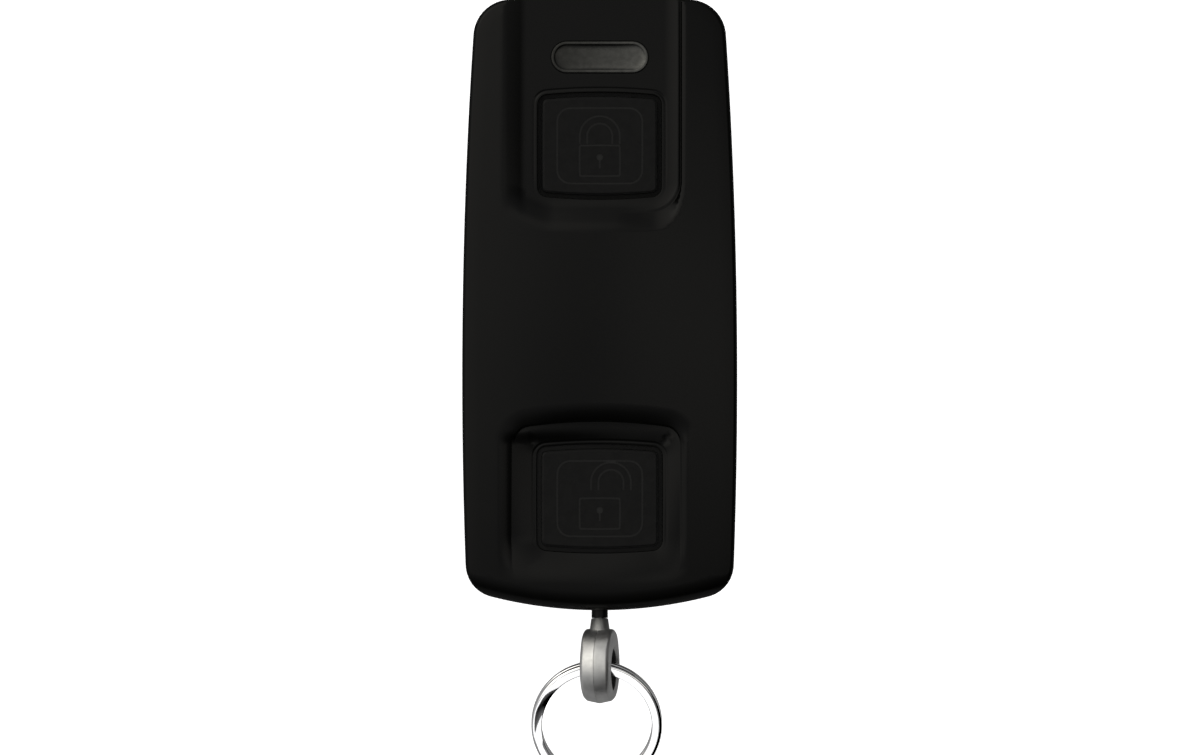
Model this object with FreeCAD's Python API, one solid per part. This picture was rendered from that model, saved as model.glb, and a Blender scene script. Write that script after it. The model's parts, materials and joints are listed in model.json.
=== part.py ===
import FreeCAD, Part
import math
import os

# Smart lock remote, lying on its back. Millimetres.
# X runs to the right across the front, Y towards the badge end, Z out of the front.
# The origin is the middle of the flat back.

vec = FreeCAD.Vector
tiny = 1e-6
os.makedirs("parts", exist_ok=True)

# Housing outline, seen from the front
body_top_y = 41.15
body_bottom_y = -41.15
top_half_width = 16.65
middle_half_width = 18.45
middle_y = -11.5
bottom_half_width = 17.9
top_end_bow = 0.58
bottom_end_bow = 2.72
top_corner_radius = 5.0
bottom_corner_radius = 4.6
far = 60.0

# Housing walls
wall = 1.8
floor_thickness = 1.8
roof_thickness = 3.5
split_z = 7.3
front_edge_radius = 2.0
back_edge_radius = 1.0
crown_y = 6.0
crown_radius_across = 110.0
crown_radius_along = 500.0
crown_reach = 30.0
crown_sweep_deg = 8.0
parting_groove_width = 0.25
parting_groove_height = 0.15

# Clearances, the tightest corner and the flattest arc
smallest_corner = 0.05
straight_turn = 0.001
press_gap = 0.02
turn_gap = 0.05
seat_gap = 0.1
slide_gap = 0.2

# Seal between the shells
seal_inset = 0.65
seal_width = 0.5
seal_height = 0.4

# Coin cell and battery door
cell_y = 18.5
cell_radius = 12.25
cell_height = 5.0
cell_cap_radius = 11.0
cell_cap_height = 0.8
cell_gasket_width = 0.5
cell_edge_radius = 0.5
cell_over_door = 0.4
holder_wall = 1.5
holder_over_cell_base = 0.3
contact_strip = 0.3
contact_width = 4.0
contact_over_cell_base = 1.0
negative_length = 14.0
negative_tip_radius = 1.2
negative_height = 0.6
door_thickness = 1.6
door_side_margin = 0.55
door_end_margin = 1.45
door_tongue_reach = 0.8
door_tongue_height = 0.5
door_tongue_z = 0.65
door_tongue_end_margin = 5.15
door_grip_margin = 7.15
door_grip_count = 5
door_grip_step = 1.3
door_grip_half_x = 4.0
door_grip_width = 0.6
door_grip_depth = 0.25
shelf_margin = 0.75
shelf_thickness = 2.2

# Circuit board, switches and the other parts on it
board_inset = 3.0
board_thickness = 0.8
board_post_margin = 5.25
board_post_y = -10.0
board_post_radius = 1.8
ledge_y = 27.5
ledge_length = 3.0
ledge_reach = 5.25
switch_side = 4.6
switch_height = 1.6
switch_corner = 0.4
plunger_radius = 1.0
plunger_height = 0.6
plunger_depth = 0.65
chip_corner = 0.15
controller_size = (5.0, 5.0, 0.9)
controller_from_post = (4.8, 7.0)
shield_size = (11.0, 9.0, 1.8)
shield_from_post = (6.2, 6.0)
shield_wall = 0.25
crystal_size = (3.2, 2.5, 0.8)
crystal_from_post = (4.8, 1.0)
capacitor_size = (1.6, 0.8, 0.8)
capacitor_from_post = (10.0, 12.0)
capacitor_count = 3
capacitor_step = 2.0
antenna_margin = 4.75
antenna_half_x = 5.6
antenna_turns = 5
antenna_reach = 3.2
antenna_line = 0.5
antenna_thickness = 0.12

# Buttons
lock_y = 21.2
lock_opening_half_x = 8.3
lock_opening_half_y = 7.2
lock_floor_thickness = 1.8
lock_cap_sink = 0.05
unlock_y = -26.1
unlock_opening_half_x = 8.4
unlock_opening_half_y = 7.3
unlock_lip_thickness = 0.95
unlock_cap_rise = 0.25
opening_bow = 0.45
opening_corner = 1.35
button_gap = 0.6
button_edge_radius = 0.35
flange_reach = 0.6
flange_height = 0.8
button_travel = 0.35

# Trays round the buttons. Each rim pair is the growth outwards and the rise over the floor.
lock_tray_margin_x = 1.9
lock_tray_margin_y = 0.1
lock_tray_corner = 1.6
lock_tray_bow = 0.6
lock_tray_tilt_deg = -2.0
lock_tray_rim = [(0.0, 0.0), (0.6, 0.1), (1.1, 0.4), (1.7, 0.95), (2.3, 1.3), (3.2, 1.52), (8.0, 1.9)]
unlock_tray_margin_x = 3.3
unlock_tray_margin_top = 3.2
unlock_tray_margin_bottom = 3.6
unlock_tray_corner = 2.6
unlock_tray_bow = 1.0
unlock_tray_depth = 0.55
unlock_tray_rim = [(0.0, 0.3), (0.5, 0.8), (1.3, 1.2), (2.4, 1.48), (3.6, 1.63), (9.0, 2.0)]

# Engraved pictures on the buttons
line_width = 0.26
line_depth = 0.12
frame_half_x = 5.8
frame_half_y = 5.2
frame_corner = 1.9
frame_bow = 0.05
padlock_half_x = 2.8
padlock_body_height = 4.4
padlock_bar_width = 1.25
padlock_corner = 0.3
padlock_drop = 0.2
shackle_leg = 1.1
shackle_shift_x = 1.5
shackle_lift = 0.9
keyhole_radius = 0.45
keyhole_length = 1.5
keyhole_drop = 1.75

# Badge
badge_over_lock_y = 11.9
badge_half_x = 6.5
badge_half_y = 2.1
badge_thickness = 0.7
badge_proud = 0.12
badge_gap = 0.14
badge_step_inset = 0.45
badge_step_depth = 0.08

# Screws
screw_radius = 0.8
screw_head_radius = 1.5
screw_head_height = 1.2
screw_head_sink = 0.3
screw_tip_depth = 0.9
screw_end_gap = 0.2
screw_drive_depth = 0.6
screw_drive_width = 0.45
screw_drive_reach = 1.0
post_radius = 2.0
lower_screw_side_margin = 5.5
lower_screw_end_margin = 7.55
upper_screw_x = 9.5
upper_screw_end_margin = 5.15
board_screw_radius = 0.7
board_screw_head_radius = 1.4
board_screw_head_height = 0.8
board_screw_length = 4.0
board_screw_drive_depth = 0.4

# Swivel
bush_radius = 1.1
bush_reach = 1.1
bush_flange_radius = 1.9
bush_flange_length = 0.8
pin_radius = 0.7
pin_head_radius = 1.5
pin_head_length = 1.0
neck_gap = 0.15
neck_length = 1.7
neck_sink = 0.4
neck_tip_radius = 1.15
neck_root_radius = 1.4
neck_bore_depth = 1.3
eye_outer_radius = 5.05
eye_bore_radius = 3.05
eye_half_width = 2.0
eye_flat_half_width = 1.3
eye_crest = 0.15
eye_chamfer = 0.75
eye_turn_deg = -10.0

# Key ring
ring_outer_radius = 8.85
ring_wire_width = 1.4
ring_wire_height = 1.0
ring_turn_gap = 0.06
ring_edge_radius = 0.3
ring_pivot_offset_y = -0.2
ring_shift_x = -0.4
ring_tilt_deg = 17.0
ring_step_deg = 26.0
ring_step_stages = 6

# Heights of the stack, from the back to the front
swivel_z = split_z
cell_bottom_z = door_thickness + cell_over_door
cell_top_z = cell_bottom_z + cell_height
board_bottom_z = cell_top_z + negative_height
board_top_z = board_bottom_z + board_thickness
switch_top_z = board_top_z + switch_height
plunger_top_z = switch_top_z + plunger_height
flange_bottom_z = plunger_top_z
flange_top_z = flange_bottom_z + flange_height
ceiling_z = flange_top_z + seat_gap
body_depth = ceiling_z + roof_thickness
lock_tray_floor_z = ceiling_z + lock_floor_thickness
lock_top_z = lock_tray_floor_z - lock_cap_sink
unlock_tray_lip_z = ceiling_z + unlock_lip_thickness
unlock_tray_rim_z = unlock_tray_lip_z + unlock_tray_depth
unlock_top_z = unlock_tray_lip_z + unlock_cap_rise
screw_tip_z = ceiling_z - screw_tip_depth
shelf_top_z = floor_thickness + shelf_thickness

# Places across and along the housing
inner_bottom_y = body_bottom_y + wall
holder_radius = cell_radius + slide_gap + holder_wall
door_half_x = cell_radius + door_side_margin
door_bottom_y = cell_y - cell_radius - door_end_margin
door_tongue_end_y = body_top_y - door_tongue_end_margin
door_grip_y = body_top_y - door_grip_margin
shelf_bottom_y = cell_y + holder_radius + shelf_margin
board_post_x = middle_half_width - board_post_margin
ledge_inner_x = middle_half_width - ledge_reach
controller_place = (board_post_x - controller_from_post[0], board_post_y + controller_from_post[1])
shield_place = (shield_from_post[0] - board_post_x, board_post_y + shield_from_post[1])
crystal_place = (board_post_x - crystal_from_post[0], board_post_y + crystal_from_post[1])
capacitor_place = (board_post_x - capacitor_from_post[0], board_post_y + capacitor_from_post[1])
lock_tray_half_x = lock_opening_half_x + lock_tray_margin_x
lock_tray_bottom_y = lock_y - lock_opening_half_y - lock_tray_margin_y
unlock_tray_half_x = unlock_opening_half_x + unlock_tray_margin_x
unlock_tray_top_y = unlock_y + unlock_opening_half_y + unlock_tray_margin_top
unlock_tray_bottom_y = unlock_y - unlock_opening_half_y - unlock_tray_margin_bottom
badge_y = lock_y + badge_over_lock_y
antenna_y = body_top_y - board_inset - antenna_margin
lower_screw_x = bottom_half_width - lower_screw_side_margin
lower_screw_y = body_bottom_y + lower_screw_end_margin
upper_screw_y = body_top_y - upper_screw_end_margin
screw_places = [
    (-lower_screw_x, lower_screw_y), (lower_screw_x, lower_screw_y),
    (-upper_screw_x, upper_screw_y), (upper_screw_x, upper_screw_y),
]

# Places along the swivel, from the inside out
bush_seat_y = inner_bottom_y + turn_gap
bush_inner_y = bush_seat_y + bush_flange_length
pin_head_y = bush_inner_y + seat_gap
pin_head_end_y = pin_head_y + pin_head_length
bush_end_y = body_bottom_y - bush_reach
neck_end_y = bush_end_y - neck_gap
eye_y = neck_end_y - neck_length - eye_outer_radius + neck_sink

# Key ring: the far edge of the tilted ring rests on the surface under the remote
ring_tilt = math.radians(ring_tilt_deg)
ring_mean_radius = ring_outer_radius - ring_wire_width / 2
ring_level = (ring_wire_height + ring_turn_gap) / 2
ring_half_height = ring_level + ring_wire_height / 2
ring_pivot_y = eye_y + ring_pivot_offset_y
ring_centre_z = ((ring_outer_radius - ring_edge_radius) * math.sin(ring_tilt)
                 + (ring_half_height - ring_edge_radius) * math.cos(ring_tilt) + ring_edge_radius)
ring_pivot_z = ring_centre_z + ring_mean_radius * math.sin(ring_tilt)


def box(x0, x1, y0, y1, z0, z1):
    return Part.makeBox(x1 - x0, y1 - y0, z1 - z0, vec(x0, y0, z0))


def cylinder(x, y, z0, z1, radius):
    return Part.makeCylinder(radius, z1 - z0, vec(x, y, z0))


def along_y(y0, y1, radius, z):
    return Part.makeCylinder(radius, y1 - y0, vec(0, y0, z), vec(0, 1, 0))


def line(start, end):
    return Part.makeLine(vec(*start), vec(*end))


def arc(start, middle, end):
    return Part.Arc(vec(*start), vec(*middle), vec(*end)).toShape()


def upright_edges(solid):
    """Straight edges of the solid that run along Z."""
    found = []
    for edge in solid.Edges:
        first = edge.Vertexes[0].Point
        last = edge.Vertexes[-1].Point
        level = abs(first.x - last.x) < tiny and abs(first.y - last.y) < tiny
        if level and abs(first.z - last.z) > tiny:
            found.append(edge)
    return found


def circle_through(a, b, c, outward):
    """Centre and radius of the circle through three points.

    The radius is negative where the arc curves inwards, and an almost straight
    arc is part of a very large circle.
    """
    turn = 2 * (a[0] * (b[1] - c[1]) + b[0] * (c[1] - a[1]) + c[0] * (a[1] - b[1]))
    if abs(turn) < straight_turn:
        turn = straight_turn
    squares = [p[0] ** 2 + p[1] ** 2 for p in (a, b, c)]
    x = (squares[0] * (b[1] - c[1]) + squares[1] * (c[1] - a[1]) + squares[2] * (a[1] - b[1])) / turn
    y = (squares[0] * (c[0] - b[0]) + squares[1] * (a[0] - c[0]) + squares[2] * (b[0] - a[0])) / turn
    bulge = (b[0] - x) * outward[0] + (b[1] - y) * outward[1]
    return x, y, math.copysign(math.hypot(a[0] - x, a[1] - y), bulge)


def symmetric_outline(low_corner, side_point, high_corner, low_y, high_y, low_radius, high_radius):
    """Outline of four bowed arcs, alike left and right, with rounded corners."""
    return {
        "side": circle_through(low_corner, side_point, high_corner, (1, 0)),
        "high": circle_through(high_corner, (0, high_y), (-high_corner[0], high_corner[1]), (0, 1)),
        "low": circle_through(low_corner, (0, low_y), (-low_corner[0], low_corner[1]), (0, -1)),
        "high_radius": high_radius,
        "low_radius": low_radius,
    }


def corner_centre(side, end, radius, upward):
    """Centre of the corner arc that touches the side arc and the end arc from inside."""
    reach_side = abs(side[2] - radius)
    reach_end = abs(end[2] - radius)
    apart_x, apart_y = end[0] - side[0], end[1] - side[1]
    apart = math.hypot(apart_x, apart_y)
    along = (reach_side ** 2 - reach_end ** 2 + apart ** 2) / (2 * apart)
    across = math.sqrt(reach_side ** 2 - along ** 2)
    base_x = side[0] + along * apart_x / apart
    base_y = side[1] + along * apart_y / apart
    spots = [
        (base_x + across * apart_y / apart, base_y - across * apart_x / apart),
        (base_x - across * apart_y / apart, base_y + across * apart_x / apart),
    ]
    return max(spots, key=lambda spot: spot[1] * upward + spot[0])


def beyond(centre, through, radius):
    """Point at a radius from the centre, in the direction of another point."""
    x, y = through[0] - centre[0], through[1] - centre[1]
    scale = abs(radius) / math.hypot(x, y)
    return centre[0] + x * scale, centre[1] + y * scale


def outline_wire(shape, growth=0.0, z=0.0):
    """Closed wire of an outline, moved outwards by the growth."""
    side = (shape["side"][0], shape["side"][1], shape["side"][2] + growth)
    half = []
    for end_name, radius_name, upward in (("low", "low_radius", -1), ("high", "high_radius", 1)):
        end = (shape[end_name][0], shape[end_name][1], shape[end_name][2] + growth)
        radius = max(shape[radius_name] + growth, smallest_corner)
        centre = corner_centre(side, end, radius, upward)
        on_side = beyond(side, centre, side[2])
        on_end = beyond(end, centre, end[2])
        middle = ((on_side[0] + on_end[0]) / 2, (on_side[1] + on_end[1]) / 2)
        half.append((on_side, beyond(centre, middle, radius), on_end, (0.0, end[1] + upward * end[2])))
    (low_side, low_mid, low_end, low_tip), (high_side, high_mid, high_end, high_tip) = half
    flank = ((low_side[0] + high_side[0]) / 2, (low_side[1] + high_side[1]) / 2)
    flank = beyond(side, flank, side[2])

    def at(point, sign=1):
        return sign * point[0], point[1], z

    edges = [
        arc(at(low_side), at(flank), at(high_side)),
        arc(at(high_side), at(high_mid), at(high_end)),
        arc(at(high_end), at(high_tip), at(high_end, -1)),
        arc(at(high_end, -1), at(high_mid, -1), at(high_side, -1)),
        arc(at(high_side, -1), at(flank, -1), at(low_side, -1)),
        arc(at(low_side, -1), at(low_mid, -1), at(low_end, -1)),
        arc(at(low_end, -1), at(low_tip), at(low_end)),
        arc(at(low_end), at(low_mid), at(low_side)),
    ]
    return Part.Wire(edges)


def prism(shape, z0, z1, growth=0.0):
    return Part.Face(outline_wire(shape, growth, z0)).extrude(vec(0, 0, z1 - z0))


def bowed_outline(half_x, low_y, high_y, bow, corner, side_bow=0.04):
    """Rounded rectangle whose ends bow outwards and whose sides are almost straight."""
    return symmetric_outline((half_x, low_y + bow), (half_x + side_bow, (low_y + high_y) / 2),
                             (half_x, high_y - bow), low_y, high_y, corner, corner)


body_outline = symmetric_outline(
    (bottom_half_width, body_bottom_y + bottom_end_bow), (middle_half_width, middle_y),
    (top_half_width, body_top_y - top_end_bow), body_bottom_y, body_top_y,
    bottom_corner_radius, top_corner_radius)


def crown_solid():
    """Everything below the doubly curved front surface."""
    drop = crown_radius_across - math.sqrt(crown_radius_across ** 2 - crown_reach ** 2)
    right_top = (crown_reach, crown_y, body_depth - drop)
    left_top = (-crown_reach, crown_y, body_depth - drop)
    right_low = (crown_reach, crown_y, -far)
    left_low = (-crown_reach, crown_y, -far)
    edges = [
        arc(left_top, (0, crown_y, body_depth), right_top), line(right_top, right_low),
        line(right_low, left_low), line(left_low, left_top),
    ]
    face = Part.Face(Part.Wire(edges))
    axis_point = vec(0, crown_y, body_depth - crown_radius_along)
    face.rotate(axis_point, vec(1, 0, 0), -crown_sweep_deg)
    return face.revolve(axis_point, vec(1, 0, 0), 2 * crown_sweep_deg)


def front_edges(solid):
    """Edges where the crowned front meets the sides."""
    return [edge for edge in solid.Edges if edge.BoundBox.ZMin > split_z]


def back_edges(solid):
    return [edge for edge in solid.Edges if edge.BoundBox.ZMax < tiny]


def envelope():
    solid = prism(body_outline, 0, far).common(crown_solid())
    solid = solid.makeFillet(front_edge_radius, front_edges(solid))
    return solid.makeFillet(back_edge_radius, back_edges(solid))


body_envelope = envelope()


# Trays and openings in the front
def stacked_cut(shape, floor_z, rim, lip=None, lip_z=0.0):
    """Cutter whose sections grow outwards as they rise."""
    sections = []
    if lip is not None:
        sections.append(outline_wire(lip, 0.0, lip_z))
        sections.append(outline_wire(shape, 0.0, floor_z))
    for growth, rise in rim:
        sections.append(outline_wire(shape, growth, floor_z + rise))
    sections.append(outline_wire(shape, rim[-1][0], floor_z + far))
    return Part.makeLoft(sections, True, True)


def opening_outline(half_x, half_y, centre_y):
    return bowed_outline(half_x, centre_y - half_y, centre_y + half_y, opening_bow, opening_corner)


lock_opening = opening_outline(lock_opening_half_x, lock_opening_half_y, lock_y)
unlock_opening = opening_outline(unlock_opening_half_x, unlock_opening_half_y, unlock_y)


def tilt_lock_tray(shape):
    """Turn a shape made level to the slope of the upper tray's floor."""
    shape.rotate(vec(0, lock_tray_bottom_y, lock_tray_floor_z), vec(1, 0, 0), lock_tray_tilt_deg)
    return shape


def lock_tray_cut():
    shape = bowed_outline(lock_tray_half_x, lock_tray_bottom_y, far, lock_tray_bow,
                          lock_tray_corner)
    return tilt_lock_tray(stacked_cut(shape, lock_tray_floor_z, lock_tray_rim))


def unlock_tray_cut():
    shape = bowed_outline(unlock_tray_half_x, unlock_tray_bottom_y, unlock_tray_top_y,
                          unlock_tray_bow, unlock_tray_corner)
    return stacked_cut(shape, unlock_tray_rim_z, unlock_tray_rim, unlock_opening,
                       unlock_tray_lip_z)


def pill(half_x, half_y, centre_y, z0, z1):
    """Flat bar with round ends."""
    straight = half_x - half_y
    bar = box(-straight, straight, centre_y - half_y, centre_y + half_y, z0, z1)
    left = cylinder(-straight, centre_y, z0, z1, half_y)
    right = cylinder(straight, centre_y, z0, z1, half_y)
    return bar.fuse([left, right]).removeSplitter()


def badge_recess():
    depth = badge_thickness - badge_proud
    return tilt_lock_tray(pill(badge_half_x + badge_gap, badge_half_y + badge_gap, badge_y,
                               lock_tray_floor_z - depth, far))


def badge_plate():
    bottom = lock_tray_floor_z + badge_proud - badge_thickness
    top = lock_tray_floor_z + badge_proud
    plate = pill(badge_half_x, badge_half_y, badge_y, bottom, top)
    step = pill(badge_half_x - badge_step_inset, badge_half_y - badge_step_inset, badge_y,
                top - badge_step_depth, far)
    return tilt_lock_tray(plate.cut(step))


# Shells
def screw_base_z(place):
    """Height of the underside of a screw's head recess."""
    return floor_thickness if place[1] > shelf_bottom_y else 0.0


def bush_bore():
    return along_y(-far, inner_bottom_y + turn_gap, bush_radius + press_gap, swivel_z)


def front_shell():
    shell = body_envelope.common(box(-far, far, -far, far, split_z, far))
    shell = shell.cut(prism(body_outline, 0, ceiling_z, -wall))
    shell = shell.cut(lock_tray_cut())
    shell = shell.cut(unlock_tray_cut())
    shell = shell.cut(prism(lock_opening, split_z, far))
    shell = shell.cut(prism(unlock_opening, split_z, far))
    shell = shell.cut(badge_recess())
    for x, y in screw_places:
        shell = shell.fuse(cylinder(x, y, split_z, ceiling_z + seat_gap, post_radius))
        shell = shell.cut(cylinder(x, y, 0, screw_tip_z + screw_end_gap, screw_radius + press_gap))
    return shell.cut(bush_bore()).removeSplitter()


def door_opening():
    half = door_half_x + slide_gap
    low_y = door_bottom_y - slide_gap
    gap = box(-half, half, low_y, far, -far, floor_thickness)
    reach = half + door_tongue_reach
    rail = box(-reach, reach, low_y, far, door_tongue_z - slide_gap,
               door_tongue_z + door_tongue_height + slide_gap)
    return gap.fuse(rail)


def seal_groove(spare):
    low_z = split_z - seal_height - spare
    outer = prism(body_outline, low_z, split_z, -seal_inset + spare)
    return outer.cut(prism(body_outline, 0, far, -seal_inset - seal_width - spare))


def parting_groove():
    outer = prism(body_outline, split_z - parting_groove_height, split_z, wall)
    return outer.cut(prism(body_outline, 0, far, -parting_groove_width))


def board_supports():
    """Screw posts and side ledges that carry the board."""
    supports = []
    inside = prism(body_outline, 0, far, -wall + press_gap)
    for side in (-1, 1):
        supports.append(cylinder(side * board_post_x, board_post_y, floor_thickness - press_gap,
                                 board_bottom_z, board_post_radius))
        inner, outer = sorted((side * ledge_inner_x, side * far))
        ledge = box(inner, outer, ledge_y - ledge_length / 2, ledge_y + ledge_length / 2,
                    floor_thickness, board_bottom_z)
        supports.append(ledge.common(inside))
    return supports


def rear_shell():
    shell = body_envelope.common(box(-far, far, -far, far, -far, split_z))
    shell = shell.cut(prism(body_outline, floor_thickness, far, -wall))
    shell = shell.cut(door_opening())
    shelf = box(-far, far, shelf_bottom_y, far, floor_thickness, shelf_top_z)
    shell = shell.fuse(shelf.common(prism(body_outline, 0, split_z, -wall / 2)))
    for x, y in screw_places:
        shell = shell.fuse(cylinder(x, y, screw_base_z((x, y)), split_z, post_radius))
    shell = shell.fuse(board_supports())
    for x, y in screw_places:
        base = screw_base_z((x, y))
        head_top = base + screw_head_sink + screw_head_height
        shell = shell.cut(cylinder(x, y, base - far, head_top, screw_head_radius + seat_gap))
        shell = shell.cut(cylinder(x, y, base, far, screw_radius + press_gap))
    for side in (-1, 1):
        tip = board_top_z - board_screw_length - screw_end_gap
        shell = shell.cut(cylinder(side * board_post_x, board_post_y, tip, far,
                                   board_screw_radius + press_gap))
    shell = shell.cut(seal_groove(press_gap))
    shell = shell.cut(parting_groove())
    return shell.cut(bush_bore()).removeSplitter()


def housing_seal():
    return seal_groove(0.0).cut(bush_bore())


def battery_door():
    region = box(-door_half_x, door_half_x, door_bottom_y, far, -far, door_thickness)
    door = body_envelope.common(region)
    for side in (-1, 1):
        inner, outer = sorted((0, side * (door_half_x + door_tongue_reach)))
        door = door.fuse(box(inner, outer, door_bottom_y, door_tongue_end_y, door_tongue_z,
                             door_tongue_z + door_tongue_height))
    for index in range(door_grip_count):
        y = door_grip_y - index * door_grip_step
        door = door.cut(box(-door_grip_half_x, door_grip_half_x, y - door_grip_width / 2,
                            y + door_grip_width / 2, -far, door_grip_depth))
    return door.removeSplitter()


# Buttons and their pictures
def engraved_line(shape, z0):
    """Closed line just inside an outline."""
    return prism(shape, z0, far).cut(prism(shape, 0, far, -line_width))


def frame_line(centre_y, z0):
    """Line round a rounded square."""
    shape = bowed_outline(frame_half_x, centre_y - frame_half_y, centre_y + frame_half_y,
                          frame_bow, frame_corner)
    return engraved_line(shape, z0)


def shackle_line(x, foot_y, z0):
    """Line round the bow of a padlock, outside and inside."""
    def bow(radius):
        top_y = foot_y + shackle_leg
        right_low, right_top = (x + radius, foot_y, z0), (x + radius, top_y, z0)
        left_low, left_top = (x - radius, foot_y, z0), (x - radius, top_y, z0)
        edges = [
            line(right_low, right_top), arc(right_top, (x, top_y + radius, z0), left_top),
            line(left_top, left_low), line(left_low, right_low),
        ]
        return Part.Face(Part.Wire(edges)).extrude(vec(0, 0, far))
    inner_radius = padlock_half_x - padlock_bar_width
    outside = bow(padlock_half_x).cut(bow(padlock_half_x - line_width))
    return outside.fuse(bow(inner_radius + line_width).cut(bow(inner_radius)))


def keyhole(y, z0):
    half = line_width / 2
    slot = box(-half, half, y - keyhole_length, y, z0, far)
    return cylinder(0, y, z0, far, keyhole_radius).fuse(slot)


def padlock(centre_y, z0, shift_x, lift):
    """Engraved padlock. The bow moves aside and up on the open one."""
    body_top = centre_y + padlock_drop
    case = bowed_outline(padlock_half_x, body_top - padlock_body_height, body_top, frame_bow,
                         padlock_corner)
    lines = engraved_line(case, z0).fuse(shackle_line(shift_x, body_top + lift, z0))
    return lines.fuse(keyhole(body_top - keyhole_drop, z0))


def button(half_x, half_y, centre_y, top_z, shift_x, lift):
    shape = opening_outline(half_x, half_y, centre_y)
    cap = prism(shape, flange_bottom_z, top_z, -button_gap)
    top = [edge for edge in cap.Edges if edge.BoundBox.ZMin > top_z - tiny]
    cap = cap.makeFillet(button_edge_radius, top)
    cap = cap.fuse(prism(shape, flange_bottom_z, flange_top_z, flange_reach))
    cap = cap.cut(frame_line(centre_y, top_z - line_depth))
    return cap.cut(padlock(centre_y, top_z - line_depth, shift_x, lift)).removeSplitter()


def lock_button():
    return button(lock_opening_half_x, lock_opening_half_y, lock_y, lock_top_z, 0.0, 0.0)


def unlock_button():
    return button(unlock_opening_half_x, unlock_opening_half_y, unlock_y, unlock_top_z,
                  shackle_shift_x, shackle_lift)


# Board, switches and electronics
def circuit_board():
    board = prism(body_outline, board_bottom_z, board_top_z, -board_inset)
    for x, y in screw_places:
        board = board.cut(cylinder(x, y, 0, far, post_radius + slide_gap))
    for side in (-1, 1):
        board = board.cut(cylinder(side * board_post_x, board_post_y, 0, far,
                                   board_screw_radius + seat_gap))
    half = pin_head_radius + seat_gap + slide_gap
    notch = box(-half, half, body_bottom_y, pin_head_end_y + slide_gap, 0, far)
    return board.cut(notch).removeSplitter()


def switch_body(centre_y):
    half = switch_side / 2
    body = box(-half, half, centre_y - half, centre_y + half, board_top_z, switch_top_z)
    body = body.makeChamfer(switch_corner, upright_edges(body))
    pocket_z = switch_top_z - plunger_depth - button_travel - seat_gap
    return body.cut(cylinder(0, centre_y, pocket_z, far, plunger_radius + turn_gap))


def switch_plunger(centre_y):
    return cylinder(0, centre_y, switch_top_z - plunger_depth, plunger_top_z, plunger_radius)


def board_block(size, place):
    half_x, half_y, height = size[0] / 2, size[1] / 2, size[2]
    x, y = place
    block = box(x - half_x, x + half_x, y - half_y, y + half_y, board_top_z, board_top_z + height)
    return block.makeChamfer(chip_corner, upright_edges(block))


def radio_shield():
    can = board_block(shield_size, shield_place)
    inner = (shield_size[0] - 2 * shield_wall, shield_size[1] - 2 * shield_wall,
             shield_size[2] - shield_wall)
    return can.cut(board_block(inner, shield_place))


def antenna():
    """Meander of flat track at the top end of the board."""
    step = 2 * antenna_half_x / antenna_turns
    z0, z1 = board_top_z, board_top_z + antenna_thickness
    half = antenna_line / 2
    track = None
    for index in range(antenna_turns + 1):
        x = -antenna_half_x + index * step
        leg = box(x - half, x + half, antenna_y, antenna_y + antenna_reach, z0, z1)
        track = leg if track is None else track.fuse(leg)
        if index < antenna_turns:
            y = antenna_y + antenna_reach if index % 2 else antenna_y
            track = track.fuse(box(x - half, x + step + half, y - half, y + half, z0, z1))
    return track.removeSplitter()


# Coin cell, holder and contacts
def cell_can():
    top = cell_top_z - cell_cap_height
    can = cylinder(0, cell_y, cell_bottom_z, top, cell_radius)
    rims = [edge for edge in can.Edges if len(edge.Vertexes) == 1]
    return can.makeFillet(cell_edge_radius, rims)


def cell_gasket():
    low = cell_top_z - cell_cap_height
    ring = cylinder(0, cell_y, low, low + cell_cap_height / 2, cell_cap_radius + cell_gasket_width)
    return ring.cut(cylinder(0, cell_y, 0, far, cell_cap_radius))


def cell_cap():
    cap = cylinder(0, cell_y, cell_top_z - cell_cap_height, cell_top_z, cell_cap_radius)
    top = [edge for edge in cap.Edges if edge.BoundBox.ZMin > cell_top_z - tiny]
    return cap.makeChamfer(cell_cap_height / 4, top)


def contact_space(spare):
    """Place of the side contact, which touches the can."""
    touch_y = cell_y - cell_radius - turn_gap
    half = contact_width / 2 + spare
    low_z = cell_bottom_z + contact_over_cell_base - spare
    return box(-half, half, touch_y - contact_strip - spare, touch_y + spare, low_z, board_bottom_z)


def cell_holder():
    low_z = cell_bottom_z + holder_over_cell_base
    ring = cylinder(0, cell_y, low_z, board_bottom_z, holder_radius)
    ring = ring.cut(cylinder(0, cell_y, 0, far, cell_radius + slide_gap))
    return ring.cut(contact_space(slide_gap))


def positive_contact():
    return contact_space(0.0)


def negative_contact():
    half = contact_width / 2
    strip = box(-negative_length / 2, negative_length / 2, cell_y - half, cell_y + half,
                board_bottom_z - contact_strip, board_bottom_z)
    return strip.fuse(cylinder(0, cell_y, cell_top_z, board_bottom_z, negative_tip_radius))


# Screws
def cross_drive(x, y, z0, z1):
    """Cross slot of a screw head."""
    half, reach = screw_drive_width / 2, screw_drive_reach
    across = box(x - reach, x + reach, y - half, y + half, z0, z1)
    return across.fuse(box(x - half, x + half, y - reach, y + reach, z0, z1))


def housing_screw(place):
    x, y = place
    low = screw_base_z(place) + screw_head_sink
    head = cylinder(x, y, low, low + screw_head_height, screw_head_radius)
    shank = cylinder(x, y, low, screw_tip_z, screw_radius)
    drive = cross_drive(x, y, -far, low + screw_drive_depth)
    return head.fuse(shank).cut(drive).removeSplitter()


def board_screw(side):
    x, y = side * board_post_x, board_post_y
    top = board_top_z + board_screw_head_height
    head = cylinder(x, y, board_top_z, top, board_screw_head_radius)
    shank = cylinder(x, y, board_top_z - board_screw_length, board_top_z, board_screw_radius)
    drive = cross_drive(x, y, top - board_screw_drive_depth, far)
    return head.fuse(shank).cut(drive).removeSplitter()


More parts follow.
